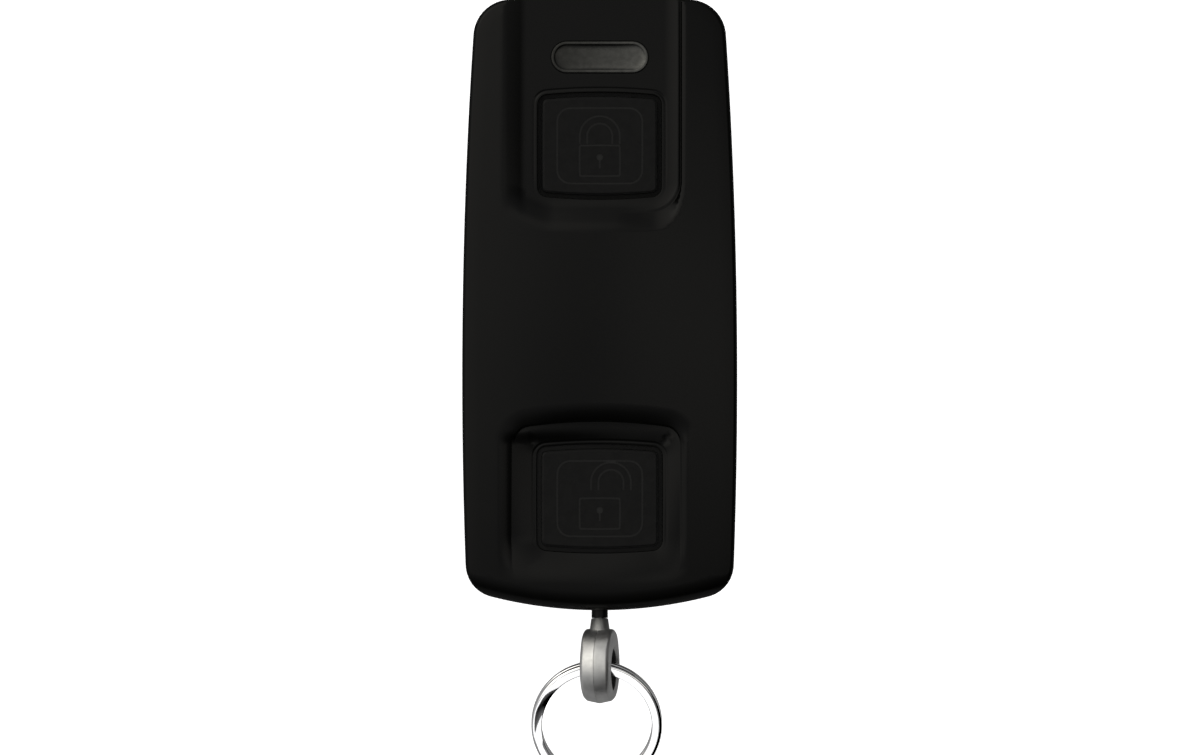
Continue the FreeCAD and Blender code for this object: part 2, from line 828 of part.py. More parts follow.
# Swivel
def swivel_bush():
    sleeve = along_y(bush_end_y, bush_inner_y, bush_radius, swivel_z)
    flange = along_y(bush_seat_y, bush_inner_y, bush_flange_radius, swivel_z)
    bore = along_y(-far, 0, pin_radius + turn_gap, swivel_z)
    return sleeve.fuse(flange).cut(bore).removeSplitter()


def swivel_pin():
    shank = along_y(neck_end_y - neck_bore_depth + turn_gap, pin_head_y, pin_radius, swivel_z)
    head = along_y(pin_head_y, pin_head_end_y, pin_head_radius, swivel_z)
    return shank.fuse(head).removeSplitter()


def swivel_eye():
    """Faceted eyelet with a tapered neck, turned a little about the long axis."""
    side = [
        (0.0, eye_outer_radius), (eye_flat_half_width, eye_outer_radius - eye_crest),
        (eye_half_width, eye_outer_radius - eye_chamfer), (eye_half_width, eye_bore_radius + eye_chamfer),
        (eye_flat_half_width, eye_bore_radius + eye_crest), (0.0, eye_bore_radius),
    ]
    mirrored = [(-x, r) for x, r in reversed(side[1:-1])]
    points = [vec(x, eye_y, swivel_z + r) for x, r in side + mirrored]
    face = Part.Face(Part.makePolygon(points + points[:1]))
    ring = face.revolve(vec(0, eye_y, swivel_z), vec(1, 0, 0), 360)
    neck_root = vec(0, neck_end_y - neck_length - neck_sink, swivel_z)
    neck = Part.makeCone(neck_root_radius, neck_tip_radius, neck_length + neck_sink, neck_root,
                         vec(0, 1, 0))
    eye = ring.fuse(neck)
    eye = eye.cut(along_y(neck_end_y - neck_bore_depth, 0, pin_radius, swivel_z))
    eye.rotate(vec(0, eye_y, swivel_z), vec(0, 1, 0), eye_turn_deg)
    return eye.removeSplitter()


# Key ring: two flat turns of wire joined by one step
def wire_section(height):
    """Rounded section of the ring's wire in the XZ plane."""
    half_x = ring_wire_width / 2
    half_z = ring_wire_height / 2
    block = box(ring_mean_radius - half_x, ring_mean_radius + half_x, 0, far, height - half_z,
                height + half_z)
    long_edges = [edge for edge in block.Edges if edge.BoundBox.YLength > far / 2]
    block = block.makeFillet(ring_edge_radius, long_edges)
    return min(block.Faces, key=lambda face: face.CenterOfMass.y).OuterWire


def flat_turn(height):
    face = Part.Face(wire_section(height))
    face.rotate(vec(0, 0, 0), vec(0, 0, 1), ring_step_deg)
    return face.revolve(vec(0, 0, 0), vec(0, 0, 1), 360 - ring_step_deg)


def step_turn():
    """Stretch of wire that climbs from the lower turn to the upper one."""
    sections = []
    for index in range(ring_step_stages + 1):
        share = index / ring_step_stages
        wire = wire_section(-ring_level * math.cos(math.pi * share))
        wire.rotate(vec(0, 0, 0), vec(0, 0, 1), ring_step_deg * share)
        sections.append(wire)
    return Part.makeLoft(sections, True, True)


def split_ring():
    ring = flat_turn(-ring_level).fuse([flat_turn(ring_level), step_turn()]).removeSplitter()
    ring.rotate(vec(0, 0, 0), vec(0, 0, 1), -90 - ring_step_deg / 2)
    ring.rotate(vec(0, 0, 0), vec(1, 0, 0), ring_tilt_deg)
    ring.translate(vec(ring_shift_x, ring_pivot_y - ring_mean_radius * math.cos(ring_tilt), ring_centre_z))
    return ring


nodes = {
    "front_shell": front_shell(),
    "rear_shell": rear_shell(),
    "housing_seal": housing_seal(),
    "badge_plate": badge_plate(),
    "battery_door": battery_door(),
    "lock_button": lock_button(),
    "unlock_button": unlock_button(),
    "lock_switch": switch_body(lock_y),
    "unlock_switch": switch_body(unlock_y),
    "lock_plunger": switch_plunger(lock_y),
    "unlock_plunger": switch_plunger(unlock_y),
    "circuit_board": circuit_board(),
    "controller_chip": board_block(controller_size, controller_place),
    "radio_shield": radio_shield(),
    "crystal": board_block(crystal_size, crystal_place),
    "antenna": antenna(),
    "cell_can": cell_can(),
    "cell_gasket": cell_gasket(),
    "cell_cap": cell_cap(),
    "cell_holder": cell_holder(),
    "positive_contact": positive_contact(),
    "negative_contact": negative_contact(),
    "swivel_bush": swivel_bush(),
    "swivel_pin": swivel_pin(),
    "swivel_eye": swivel_eye(),
    "split_ring": split_ring(),
}
for index, place in enumerate(screw_places, start=1):
    nodes["housing_screw_%d" % index] = housing_screw(place)
for index, side in enumerate((-1, 1), start=1):
    nodes["board_screw_%d" % index] = board_screw(side)
for index in range(capacitor_count):
    spot = (capacitor_place[0], capacitor_place[1] - index * capacitor_step)
    nodes["capacitor_%d" % (index + 1)] = board_block(capacitor_size, spot)

for name, shape in nodes.items():
    print(name, len(shape.Solids), shape.isValid(), round(shape.Volume, 2))
    shape.exportStep("parts/%s.step" % name)
print("ring pivot height", round(ring_pivot_z, 4))
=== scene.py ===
import json
import math

import bmesh
import bpy
from mathutils import Matrix, Vector, geometry

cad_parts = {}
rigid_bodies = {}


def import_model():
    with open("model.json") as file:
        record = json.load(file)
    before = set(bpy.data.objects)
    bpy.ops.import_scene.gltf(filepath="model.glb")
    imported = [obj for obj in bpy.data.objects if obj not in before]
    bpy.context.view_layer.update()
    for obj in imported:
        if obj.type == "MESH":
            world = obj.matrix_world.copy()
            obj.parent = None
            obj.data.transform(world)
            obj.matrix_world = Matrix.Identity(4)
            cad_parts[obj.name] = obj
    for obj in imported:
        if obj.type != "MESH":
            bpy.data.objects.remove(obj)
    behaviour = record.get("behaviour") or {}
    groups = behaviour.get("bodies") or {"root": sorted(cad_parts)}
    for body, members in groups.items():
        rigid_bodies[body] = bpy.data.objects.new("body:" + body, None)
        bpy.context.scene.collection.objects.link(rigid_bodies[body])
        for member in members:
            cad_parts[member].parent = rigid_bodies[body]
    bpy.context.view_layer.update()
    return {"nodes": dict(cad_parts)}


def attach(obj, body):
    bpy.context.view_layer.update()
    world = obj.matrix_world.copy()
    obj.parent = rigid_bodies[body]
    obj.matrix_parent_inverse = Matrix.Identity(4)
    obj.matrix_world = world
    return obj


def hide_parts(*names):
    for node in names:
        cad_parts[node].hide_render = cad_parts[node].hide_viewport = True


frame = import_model()
nodes = frame["nodes"]
mm = 0.001
print("frame loaded:", len(nodes), "nodes")

# housing sizes in mm: outline, crown, split and wall as in the solids, the edges finer than there
housing = {
    "topY": 41.15, "bottomY": -41.15,
    "lowCorner": (17.9, -38.43), "side": (18.45, -11.5), "highCorner": (16.65, 40.57),
    "topRadius": 5.0, "bottomRadius": 4.6,
    "frontZ": 15.0, "crownY": 6.0, "crownAcross": 110.0, "crownAlong": 500.0,
    "rimRadius": 0.6, "rimReach": 2.2, "rimDrop": 0.1,
    "endWidth": 2.6, "endDepth": 2.6, "endBlend": 0.3, "endBlendDepth": 0.4,
    "edgeReach": 3.0, "edgeBlend": 0.35, "edgeBlendDepth": 0.5,
    "splitZ": 7.3, "ceilingZ": 11.5, "wall": 1.8,
}
lockTray = {
    "halfX": 10.2, "bottomY": 12.7, "topY": 60.0, "bow": 0.5, "corner": 3.4, "reach": 4.8,
    "floorZ": 13.3, "floorY": 13.9, "slope": math.tan(math.radians(2.0)),
    "coveStart": -1.6, "coveEnd": 0.24, "coveRise": 0.32, "creaseWidth": 0.42, "creaseDepth": 0.085,
    "wallWidth": 0.1, "endWallWidth": 2.0, "cornerPower": 2.4,
    "bevelDrop": 0.2, "bevelWidth": 0.62, "bevelPower": 1.5, "crispX": 2.0, "crispWidth": 7.0,
    "softX": 9.85, "softWidth": 3.45, "softEase": 0.24,
    "endY": 14.3, "endReach": 4.7, "endEase": 0.32, "endLift": 1.9, "liftX": 6.0, "liftWidth": 7.0,
}
unlockTray = {
    "halfX": 11.4, "shift": 0.35, "bottomY": -38.2, "topY": -15.65, "bow": 1.0, "corner": 2.6,
    "lipZ": 12.44, "leftLipZ": 11.92, "edgeZ": 13.46, "edgeBlend": 0.25,
    "fadeFrom": -31.0, "fadeTo": -37.5, "topReach": 3.0, "topFade": 2.5, "sideX": 6.0, "sideFade": 12.0,
    "topWidth": 2.5, "topPower": 2.2, "topRiser": 0.48, "topRiserWidth": 0.1, "topBend": 0.4,
    "leftRoll": 0.85, "leftWidth": 2.0, "rightRoll": 0.28, "rightWidth": 0.85, "sidePower": 1.75,
    "rightRiser": 0.12, "rightRiserWidth": 0.35, "leftBend": -0.4, "endBend": 0.8,
    "notch": {"x": 8.9, "y": -18.1, "lean": (0.6, 0.8), "along": 1.3, "across": 0.6, "depth": 0.16},
}
openings = {
    "lock": {"halfX": 8.3, "halfY": 7.2, "y": 21.2},
    "unlock": {"halfX": 8.4, "halfY": 7.3, "y": -26.1},
    "bow": 0.45, "corner": 1.35, "lipRadius": 0.1,
    "grooveAt": 0.5, "grooveWidth": 0.56, "grooveDepth": 0.085,
    "topFrom": 0.8, "topFade": 0.15, "sideFrom": -1.0, "sideFade": 0.6, "sideShare": 0.45,
}
badge = {"y": 33.1, "halfX": 6.5, "halfY": 2.1, "gap": 0.14, "depth": 0.58}
# how far apart the front's slope is taken, finer near the rim
normalStep = {"sideBand": 0.015, "rimBand": 0.7, "rimStep": 0.01, "step": 0.035}
tiny = 1e-6  # keeps a blend or a share from dividing by nothing


# outlines made of touching arcs
def circleThrough(a, b, c):
    turn = 2 * (a[0] * (b[1] - c[1]) + b[0] * (c[1] - a[1]) + c[0] * (a[1] - b[1]))
    s = [p[0] ** 2 + p[1] ** 2 for p in (a, b, c)]
    x = (s[0] * (b[1] - c[1]) + s[1] * (c[1] - a[1]) + s[2] * (a[1] - b[1])) / turn
    y = (s[0] * (c[0] - b[0]) + s[1] * (a[0] - c[0]) + s[2] * (b[0] - a[0])) / turn
    return x, y, math.hypot(a[0] - x, a[1] - y)


def cornerSpot(side, end, radius, upward):
    reachSide, reachEnd = side[2] - radius, end[2] - radius
    dx, dy = end[0] - side[0], end[1] - side[1]
    apart = math.hypot(dx, dy)
    along = (reachSide ** 2 - reachEnd ** 2 + apart ** 2) / (2 * apart)
    across = math.sqrt(reachSide ** 2 - along ** 2)
    x, y = side[0] + along * dx / apart, side[1] + along * dy / apart
    spots = [(x + across * dy / apart, y - across * dx / apart),
             (x - across * dy / apart, y + across * dx / apart)]
    return max(spots, key=lambda spot: spot[1] * upward + spot[0])


def towards(start, through, length):
    x, y = through[0] - start[0], through[1] - start[1]
    scale = length / math.hypot(x, y)
    return start[0] + x * scale, start[1] + y * scale


def arcOutline(low, side, high, lowY, highY, lowRadius, highRadius):
    shape = {"side": circleThrough(low, side, high),
             "high": circleThrough(high, (0, highY), (-high[0], high[1])),
             "low": circleThrough(low, (0, lowY), (-low[0], low[1])), "corners": []}
    for end, radius, upward in (("low", lowRadius, -1), ("high", highRadius, 1)):
        centre = cornerSpot(shape["side"], shape[end], radius, upward)
        onSide = towards(shape["side"], centre, shape["side"][2])
        onEnd = towards(shape[end], centre, shape[end][2])
        shape["corners"].append((centre, radius, upward, onSide, onEnd))
    return shape


def softRectangle(halfX, lowY, highY, bow, corner, sideBow=0.04):
    return arcOutline((halfX, lowY + bow), (halfX + sideBow, (lowY + highY) / 2), (halfX, highY - bow),
                      lowY, highY, corner, corner)


# distance from an outline, positive outside it
def outsideBy(shape, x, y):
    x = abs(x)
    for centre, radius, upward, onSide, onEnd in shape["corners"]:
        px, py = x - centre[0], y - centre[1]
        ux, uy = onSide[0] - centre[0], onSide[1] - centre[1]
        vx, vy = onEnd[0] - centre[0], onEnd[1] - centre[1]
        if (ux * py - uy * px) * upward >= 0 and (px * vy - py * vx) * upward >= 0:
            return math.hypot(px, py) - radius
    return max(math.hypot(x - shape[name][0], y - shape[name][1]) - shape[name][2]
               for name in ("side", "low", "high"))


def arcPoints(circle, radius, start, end, count):
    a = math.atan2(start[1] - circle[1], start[0] - circle[0])
    b = math.atan2(end[1] - circle[1], end[0] - circle[0])
    b += 2 * math.pi * round((a - b) / (2 * math.pi))
    return [(circle[0] + radius * math.cos(a + (b - a) * i / count),
             circle[1] + radius * math.sin(a + (b - a) * i / count)) for i in range(count)]


def evenly(points, step):
    loop = points + points[:1]
    lengths = [0.0]
    for p, q in zip(loop, loop[1:]):
        lengths.append(lengths[-1] + math.hypot(q[0] - p[0], q[1] - p[1]))
    count = max(12, int(round(lengths[-1] / step)))
    result, k = [], 0
    for i in range(count):
        target = lengths[-1] * i / count
        while lengths[k + 1] < target:
            k += 1
        share = (target - lengths[k]) / (lengths[k + 1] - lengths[k])
        p, q = loop[k], loop[k + 1]
        result.append((p[0] + (q[0] - p[0]) * share, p[1] + (q[1] - p[1]) * share))
    return result


# points along an outline that is moved outwards by the growth
def outlineLoop(shape, growth, step, fine=40, smallest=0.02):
    side, low, high = shape["side"], shape["low"], shape["high"]
    lowCorner, highCorner = shape["corners"]
    right = arcPoints(low, low[2] + growth, (0, low[1] - low[2]), lowCorner[4], fine)
    right += arcPoints(lowCorner[0], max(lowCorner[1] + growth, smallest), lowCorner[4], lowCorner[3], fine)
    right += arcPoints(side, side[2] + growth, lowCorner[3], highCorner[3], fine * 2)
    right += arcPoints(highCorner[0], max(highCorner[1] + growth, smallest), highCorner[3], highCorner[4],
                       fine)
    right += arcPoints(high, high[2] + growth, highCorner[4], (0, high[1] + high[2]), fine)
    right.append((0.0, high[1] + high[2] + growth))
    left = [(-x, y) for x, y in reversed(right[1:-1])]
    return evenly(right + left, step)


def pillLoop(spot, growth, step, fine=32):
    straight, radius = spot["halfX"] - spot["halfY"], spot["halfY"] + growth
    points = []
    for end in (1, -1):
        for i in range(fine + 1):
            a = math.pi * i / fine - end * math.pi / 2
            points.append((end * straight + radius * math.cos(a), spot["y"] + radius * math.sin(a)))
    return evenly(points, step)


def pillDistance(spot, x, y):
    straight = spot["halfX"] - spot["halfY"]
    return math.hypot(max(abs(x) - straight, 0.0), y - spot["y"]) - spot["halfY"]


bodyShape = arcOutline(housing["lowCorner"], housing["side"], housing["highCorner"], housing["bottomY"],
                       housing["topY"], housing["bottomRadius"], housing["topRadius"])
lockTrayShape = softRectangle(lockTray["halfX"], lockTray["bottomY"], lockTray["topY"],
                              lockTray["bow"], lockTray["corner"])
unlockTrayShape = softRectangle(unlockTray["halfX"], unlockTray["bottomY"], unlockTray["topY"],
                                unlockTray["bow"], unlockTray["corner"])


def openingShape(name):
    spot = openings[name]
    return softRectangle(spot["halfX"], spot["y"] - spot["halfY"], spot["y"] + spot["halfY"],
                         openings["bow"], openings["corner"])


lockHole, unlockHole = openingShape("lock"), openingShape("unlock")


# heights of the front
def smoothStep(t):
    t = min(max(t, 0.0), 1.0)
    return t * t * (3 - 2 * t)


def softMin(a, b, k):
    h = max(k - abs(a - b), 0.0) / k
    return min(a, b) - h * h * k / 4


def crownHeight(x, y):
    h = housing
    sag = h["crownAcross"] - math.sqrt(h["crownAcross"] ** 2 - x * x)
    return h["frontZ"] - h["crownAlong"] + math.sqrt((h["crownAlong"] - sag) ** 2 - (y - h["crownY"]) ** 2)


def quarter(inside, width, depth):
    t = min(max((width - inside) / width, 0.0), 1.0)
    return depth * (1 - math.sqrt(1 - t * t))


# a crisp rim along the sides and a long roll over the bottom end
def edgeDrop(inside, x, y):
    h = housing
    rim = h["rimDrop"] * max(1 - inside / h["rimReach"], 0.0) ** 2
    rim += quarter(inside, h["rimRadius"], h["rimRadius"])
    if y > 0:
        return rim
    low = bodyShape["low"]
    end = quarter(low[2] - math.hypot(x - low[0], y - low[1]), h["endWidth"], h["endDepth"])
    return -softMin(-rim, -end, h["endBlend"] * smoothStep(end / h["endBlendDepth"]) + tiny)


def rolled(crown, depth, t, power):
    return crown - depth * (1 - min(max(t, 0.0), 1.0)) ** power


# even slope with soft ends
def ramp(t, ease):
    t = min(max(t, 0.0), 1.0)
    full = 2 * ease * (1 - ease)
    if t < ease:
        return t * t / full
    return 1 - (1 - t) ** 2 / full if t > 1 - ease else (t - ease / 2) / (1 - ease)


def mix(a, b, share):
    return a + (b - a) * share


def lockFloorZ(y):
    return lockTray["floorZ"] - lockTray["slope"] * (y - lockTray["floorY"])


# soft ramps on the left and below, a crisp edge on the right
def lockTrayHeight(x, y, crown):
    s = lockTray
    away = outsideBy(lockTrayShape, x, y)
    if away > s["reach"]:
        return crown
    floorZ = lockFloorZ(y)
    left = ramp((-x - s["softX"]) / s["softWidth"], s["softEase"])
    endY = s["endY"] + s["endLift"] * smoothStep((-x - s["liftX"]) / s["liftWidth"])
    end = ramp((endY - y) / s["endReach"], s["endEase"])
    soft = crown - (crown - floorZ) * (1 - left) * (1 - end)
    crisp = smoothStep((x - s["crispX"]) / s["crispWidth"])
    if crisp == 0:
        return soft
    if away <= s["coveEnd"]:
        cove = (away - s["coveStart"]) / (s["coveEnd"] - s["coveStart"])
        z = floorZ + s["coveRise"] * max(cove, 0.0) ** 2
    else:
        right, below = max(x - s["halfX"] + s["corner"], 0.0), max(s["bottomY"] + s["corner"] - y, 0.0)
        # 0 along the side, 1 along the end
        low = (below / max(math.hypot(right, below), tiny)) ** s["cornerPower"]
        dip, wall = s["creaseDepth"] * (1 - low), mix(s["wallWidth"], s["endWallWidth"], low)
        z = floorZ + s["coveRise"] - dip * smoothStep((away - s["coveEnd"]) / s["creaseWidth"])
        past = away - s["coveEnd"] - s["creaseWidth"]
        edge = rolled(crown, s["bevelDrop"], (past - wall) / s["bevelWidth"], s["bevelPower"])
        z = mix(z, edge, min(max(past / wall, 0.0), 1.0))
    return mix(soft, z, crisp)


# rolled on all sides, steep above the top end, with facets down to the opening and two small notches
def unlockTrayHeight(x, y, crown):
    s = unlockTray
    away = outsideBy(unlockTrayShape, x + s["shift"], y)
    if away > s["topWidth"]:
        return crown
    fade = smoothStep((y - s["fadeTo"]) / (s["fadeFrom"] - s["fadeTo"]))
    top = smoothStep((y - s["topY"] + s["topReach"]) / s["topFade"])
    right = smoothStep((x + s["sideX"]) / s["sideFade"])
    sideRoll = mix(s["leftRoll"], s["rightRoll"], right) * fade
    edge = softMin(s["edgeZ"], crown - sideRoll * (1 - top), s["edgeBlend"])
    if away >= 0:
        width = mix(mix(s["leftWidth"], s["rightWidth"], right), s["topWidth"], top)
        return rolled(crown, max(crown - edge, 0.0), away / width, mix(s["sidePower"], s["topPower"], top))
    riser = mix(s["rightRiser"] * right * fade, s["topRiser"], top)
    riserWidth = mix(s["rightRiserWidth"], s["topRiserWidth"], top)
    inner = outsideBy(unlockHole, x, y)
    share = max(inner, 0.0) / max(inner - away, tiny)
    bend = mix(mix(s["leftBend"] * (1 - right), s["endBend"], 1 - fade), s["topBend"], top)
    lip = mix(s["lipZ"], s["leftLipZ"], (1 - right) * fade * (1 - top))
    z = mix(lip, edge - riser, share * (1 + bend * (1 - share)))
    z += riser * smoothStep((away + riserWidth) / riserWidth)
    n = s["notch"]
    leanX, leanY = n["lean"]
    dx, dy = abs(x) - n["x"], y - n["y"]
    apart = ((dx * leanX + dy * leanY) / n["along"]) ** 2 + ((dx * leanY - dy * leanX) / n["across"]) ** 2
    return z - n["depth"] * max(1 - apart, 0.0) ** 2


# lip round an opening, with a shallow groove outside it that is deepest along the top
def lipDrop(inner, height):
    s = openings
    r = s["lipRadius"]
    drop = r - math.sqrt(max(r * r - (r - max(inner, 0.0)) ** 2, 0.0)) if inner < r else 0.0
    t = (inner - s["grooveAt"]) / s["grooveWidth"]
    if abs(t) < 0.5:
        top = smoothStep((height - s["topFrom"]) / s["topFade"])
        share = s["sideShare"] * smoothStep((height - s["sideFrom"]) / s["sideFade"])
        drop += s["grooveDepth"] * (share + (1 - share) * top) * math.cos(math.pi * t) ** 2
    return drop


def frontHeight(x, y):
    h = housing
    crown = crownHeight(x, y)
    z = lockTrayHeight(x, y, crown) if y > 0 else unlockTrayHeight(x, y, crown)
    inside = -outsideBy(bodyShape, x, y)
    if inside < h["edgeReach"]:
        edge = crown - edgeDrop(inside, x, y)
        z = softMin(z, edge, h["edgeBlend"] * smoothStep((crown - z) / h["edgeBlendDepth"]) + tiny)
    spot = openings["lock" if y > 0 else "unlock"]
    return z - lipDrop(outsideBy(lockHole if y > 0 else unlockHole, x, y), (y - spot["y"]) / spot["halfY"])


def frontNormal(x, y):
    s = normalStep
    inside = -outsideBy(bodyShape, x, y)
    h = s["rimStep"] if inside < s["rimBand"] else s["step"]
    if inside < s["sideBand"]:
        gx = outsideBy(bodyShape, x + h, y) - outsideBy(bodyShape, x - h, y)
        gy = outsideBy(bodyShape, x, y + h) - outsideBy(bodyShape, x, y - h)
        return Vector((gx, gy, 0.0)).normalized()
    gx = (frontHeight(x + h, y) - frontHeight(x - h, y)) / (2 * h)
    gy = (frontHeight(x, y + h) - frontHeight(x, y - h)) / (2 * h)
    return Vector((-gx, -gy, 1.0)).normalized()


# materials: small builders for the nodes, and one finish for all plain plastics and metals
def shaderNodes(name):
    material = bpy.data.materials.new(name)
    material.use_nodes = True
    tree = material.node_tree
    return material, tree, tree.nodes["Principled BSDF"]


# a socket is linked, a number or a colour is set
def feed(tree, socket, value):
    if isinstance(value, bpy.types.NodeSocket):
        tree.links.new(value, socket)
    elif value is not None:
        socket.default_value = value


def addMath(tree, operation, first, second, third=None):
    node = tree.nodes.new("ShaderNodeMath")
    node.operation = operation
    for socket, value in zip(node.inputs, (first, second, third)):
        feed(tree, socket, value)
    return node.outputs[0]


def addMix(tree, kind, factor, a, b, blend="MIX"):
    node = tree.nodes.new("ShaderNodeMix")
    node.data_type = kind
    node.blend_type = blend
    for name, value in (("Factor", factor), ("A", a), ("B", b)):
        feed(tree, node.inputs[name], value)
    return node.outputs["Result"]


def addNoise(tree, scale, detail, stretch=(1, 1, 1), roughness=0.5):
    coords = tree.nodes.new("ShaderNodeTexCoord")
    mapping = tree.nodes.new("ShaderNodeMapping")
    mapping.inputs["Scale"].default_value = stretch
    noise = tree.nodes.new("ShaderNodeTexNoise")
    noise.inputs["Scale"].default_value = scale
    noise.inputs["Detail"].default_value = detail
    noise.inputs["Roughness"].default_value = roughness
    tree.links.new(coords.outputs["Object"], mapping.inputs["Vector"])
    tree.links.new(mapping.outputs["Vector"], noise.inputs["Vector"])
    return noise.outputs["Fac"]


def addRange(tree, source, low, high, fromLow=0.3, fromHigh=0.7):
    spread = tree.nodes.new("ShaderNodeMapRange")
    spread.inputs["From Min"].default_value = fromLow
    spread.inputs["From Max"].default_value = fromHigh
    spread.inputs["To Min"].default_value = low
    spread.inputs["To Max"].default_value = high
    tree.links.new(source, spread.inputs["Value"])
    return spread.outputs["Result"]


def addBump(tree, height, depth, strength):
    bump = tree.nodes.new("ShaderNodeBump")
    bump.inputs["Strength"].default_value = strength
    bump.inputs["Distance"].default_value = depth * mm
    tree.links.new(height, bump.inputs["Height"])
    return bump.outputs["Normal"]


# place along one axis, from the piece's own coordinates
def ownAxis(tree, axis):
    coords = tree.nodes.new("ShaderNodeTexCoord")
    split = tree.nodes.new("ShaderNodeSeparateXYZ")
    tree.links.new(coords.outputs["Object"], split.inputs["Vector"])
    return split.outputs[axis]


# what a look has unless it says otherwise
usualLook = {
    "metal": 0.0, "specular": 0.5, "coat": 0.0, "coatRoughness": 0.03, "stretch": (1, 1, 1),
    "patchDetail": 3.0, "patchStops": (0.35, 0.65),
    "grainDetail": 2.0, "grainRoughness": 0.6, "grainStrength": 0.5,
}


# fine grain, in the roughness and as relief
def addGrain(tree, shader, look):
    grain = addNoise(tree, look["grainScale"], look["grainDetail"], look["stretch"], look["grainRoughness"])
    tree.links.new(addRange(tree, grain, *look["roughness"]), shader.inputs["Roughness"])
    relief = addBump(tree, grain, look["grainDepth"], look["grainStrength"])
    tree.links.new(relief, shader.inputs["Normal"])
    if look["coat"]:
        tree.links.new(relief, shader.inputs["Coat Normal"])


def finish(name, look):
    look = {**usualLook, **look}
    material, tree, shader = shaderNodes(name)
    patches = addNoise(tree, look["patchScale"], look["patchDetail"], look["stretch"])
    shades = tree.nodes.new("ShaderNodeValToRGB")
    for stop, place, colour in zip(shades.color_ramp.elements, look["patchStops"], look["colours"]):
        stop.position = place
        stop.color = (*colour, 1)
    tree.links.new(patches, shades.inputs["Fac"])
    tree.links.new(shades.outputs["Color"], shader.inputs["Base Color"])
    shader.inputs["Metallic"].default_value = look["metal"]
    shader.inputs["Specular IOR Level"].default_value = look["specular"]
    shader.inputs["Coat Weight"].default_value = look["coat"]
    shader.inputs["Coat Roughness"].default_value = look["coatRoughness"]
    addGrain(tree, shader, look)
    return material


looks = {
    "satinBlackShell": {"colours": ((0.0012, 0.0012, 0.0011), (0.0016, 0.0016, 0.0014)), "patchScale": 60,
                        "roughness": (0.5, 0.6), "specular": 0.0, "coat": 0.2, "coatRoughness": 0.26,
                        "grainScale": 5200, "grainDepth": 0.003},
    "backShellBlack": {"colours": ((0.0018, 0.0018, 0.0017), (0.0026, 0.0026, 0.0024)), "patchScale": 80,
                       "roughness": (0.5, 0.6), "specular": 0.0, "coat": 0.3, "coatRoughness": 0.46,
                       "grainScale": 3600, "grainDepth": 0.01},
    "doorBlack": {"colours": ((0.002, 0.002, 0.0018), (0.003, 0.003, 0.0028)), "patchScale": 90,
                  "roughness": (0.5, 0.6), "specular": 0.0, "coat": 0.3, "coatRoughness": 0.5,
                  "grainScale": 3200, "grainDepth": 0.012},
    "satinCastMetal": {"colours": ((0.5, 0.5, 0.495), (0.6, 0.6, 0.595)), "patchScale": 500,
                       "metal": 1.0, "roughness": (0.42, 0.52), "grainScale": 2600, "grainDepth": 0.01},
    # the bore's metal, far darker than the eye's: painted shade in the hole
    "paintedShadeBoreMetal": {"colours": ((0.05, 0.05, 0.05), (0.08, 0.08, 0.08)), "patchScale": 500,
                      "metal": 1.0, "roughness": (0.5, 0.6), "grainScale": 2600, "grainDepth": 0.01},
    "polishedRingSteel": {"colours": ((0.78, 0.78, 0.79), (0.86, 0.86, 0.87)), "patchScale": 180,
                          "metal": 1.0, "roughness": (0.05, 0.1), "grainScale": 1800, "grainDepth": 0.0015},
    "smoothBushBlack": {"colours": ((0.002, 0.002, 0.002), (0.003, 0.003, 0.003)), "patchScale": 300,
                        "roughness": (0.5, 0.6), "specular": 0.0, "coat": 0.2, "coatRoughness": 0.3,
                        "grainScale": 2500, "grainDepth": 0.002},
    "softSealRubber": {"colours": ((0.012, 0.012, 0.012), (0.02, 0.02, 0.02)), "patchScale": 700,
                       "roughness": (0.7, 0.85), "grainScale": 3000, "grainDepth": 0.01},
    "mouldedSwitchBlack": {"colours": ((0.02, 0.02, 0.02), (0.035, 0.035, 0.035)), "patchScale": 800,
                           "roughness": (0.4, 0.55), "grainScale": 4000, "grainDepth": 0.006},
    "redPlunger": {"colours": ((0.42, 0.07, 0.045), (0.55, 0.11, 0.07)), "patchScale": 600,
                   "roughness": (0.4, 0.5), "grainScale": 4000, "grainDepth": 0.004},
    "tanCapacitor": {"colours": ((0.42, 0.3, 0.18), (0.55, 0.4, 0.25)), "patchScale": 2400,
                     "roughness": (0.45, 0.6), "grainScale": 6000, "grainDepth": 0.006},
    "stampedShieldSteel": {"colours": ((0.6, 0.6, 0.6), (0.72, 0.72, 0.71)), "patchScale": 260,
                           "stretch": (1, 6, 1), "metal": 1.0, "roughness": (0.3, 0.42),
                           "grainScale": 2200, "grainDepth": 0.003},
    "antennaTrackBrass": {"colours": ((0.72, 0.48, 0.2), (0.82, 0.58, 0.28)), "patchScale": 700,
                          "metal": 1.0, "roughness": (0.22, 0.34), "grainScale": 3000, "grainDepth": 0.002},
    "coinCellSteel": {"colours": ((0.66, 0.66, 0.65), (0.76, 0.76, 0.75)), "patchScale": 150,
                      "metal": 1.0, "roughness": (0.22, 0.36), "grainScale": 2600, "grainDepth": 0.002},
    "holderBlack": {"colours": ((0.02, 0.02, 0.021), (0.032, 0.032, 0.033)), "patchScale": 300,
                    "roughness": (0.5, 0.62), "grainScale": 3200, "grainDepth": 0.01},
    "platedContact": {"colours": ((0.68, 0.66, 0.6), (0.8, 0.78, 0.72)), "patchScale": 500,
                      "metal": 1.0, "roughness": (0.18, 0.3), "grainScale": 2600, "grainDepth": 0.002},
    "zincScrewSteel": {"colours": ((0.34, 0.34, 0.35), (0.46, 0.46, 0.47)), "patchScale": 900,
                       "metal": 1.0, "roughness": (0.3, 0.42), "grainScale": 3000, "grainDepth": 0.004},
}
materials = {name: finish(name, look) for name, look in looks.items()}


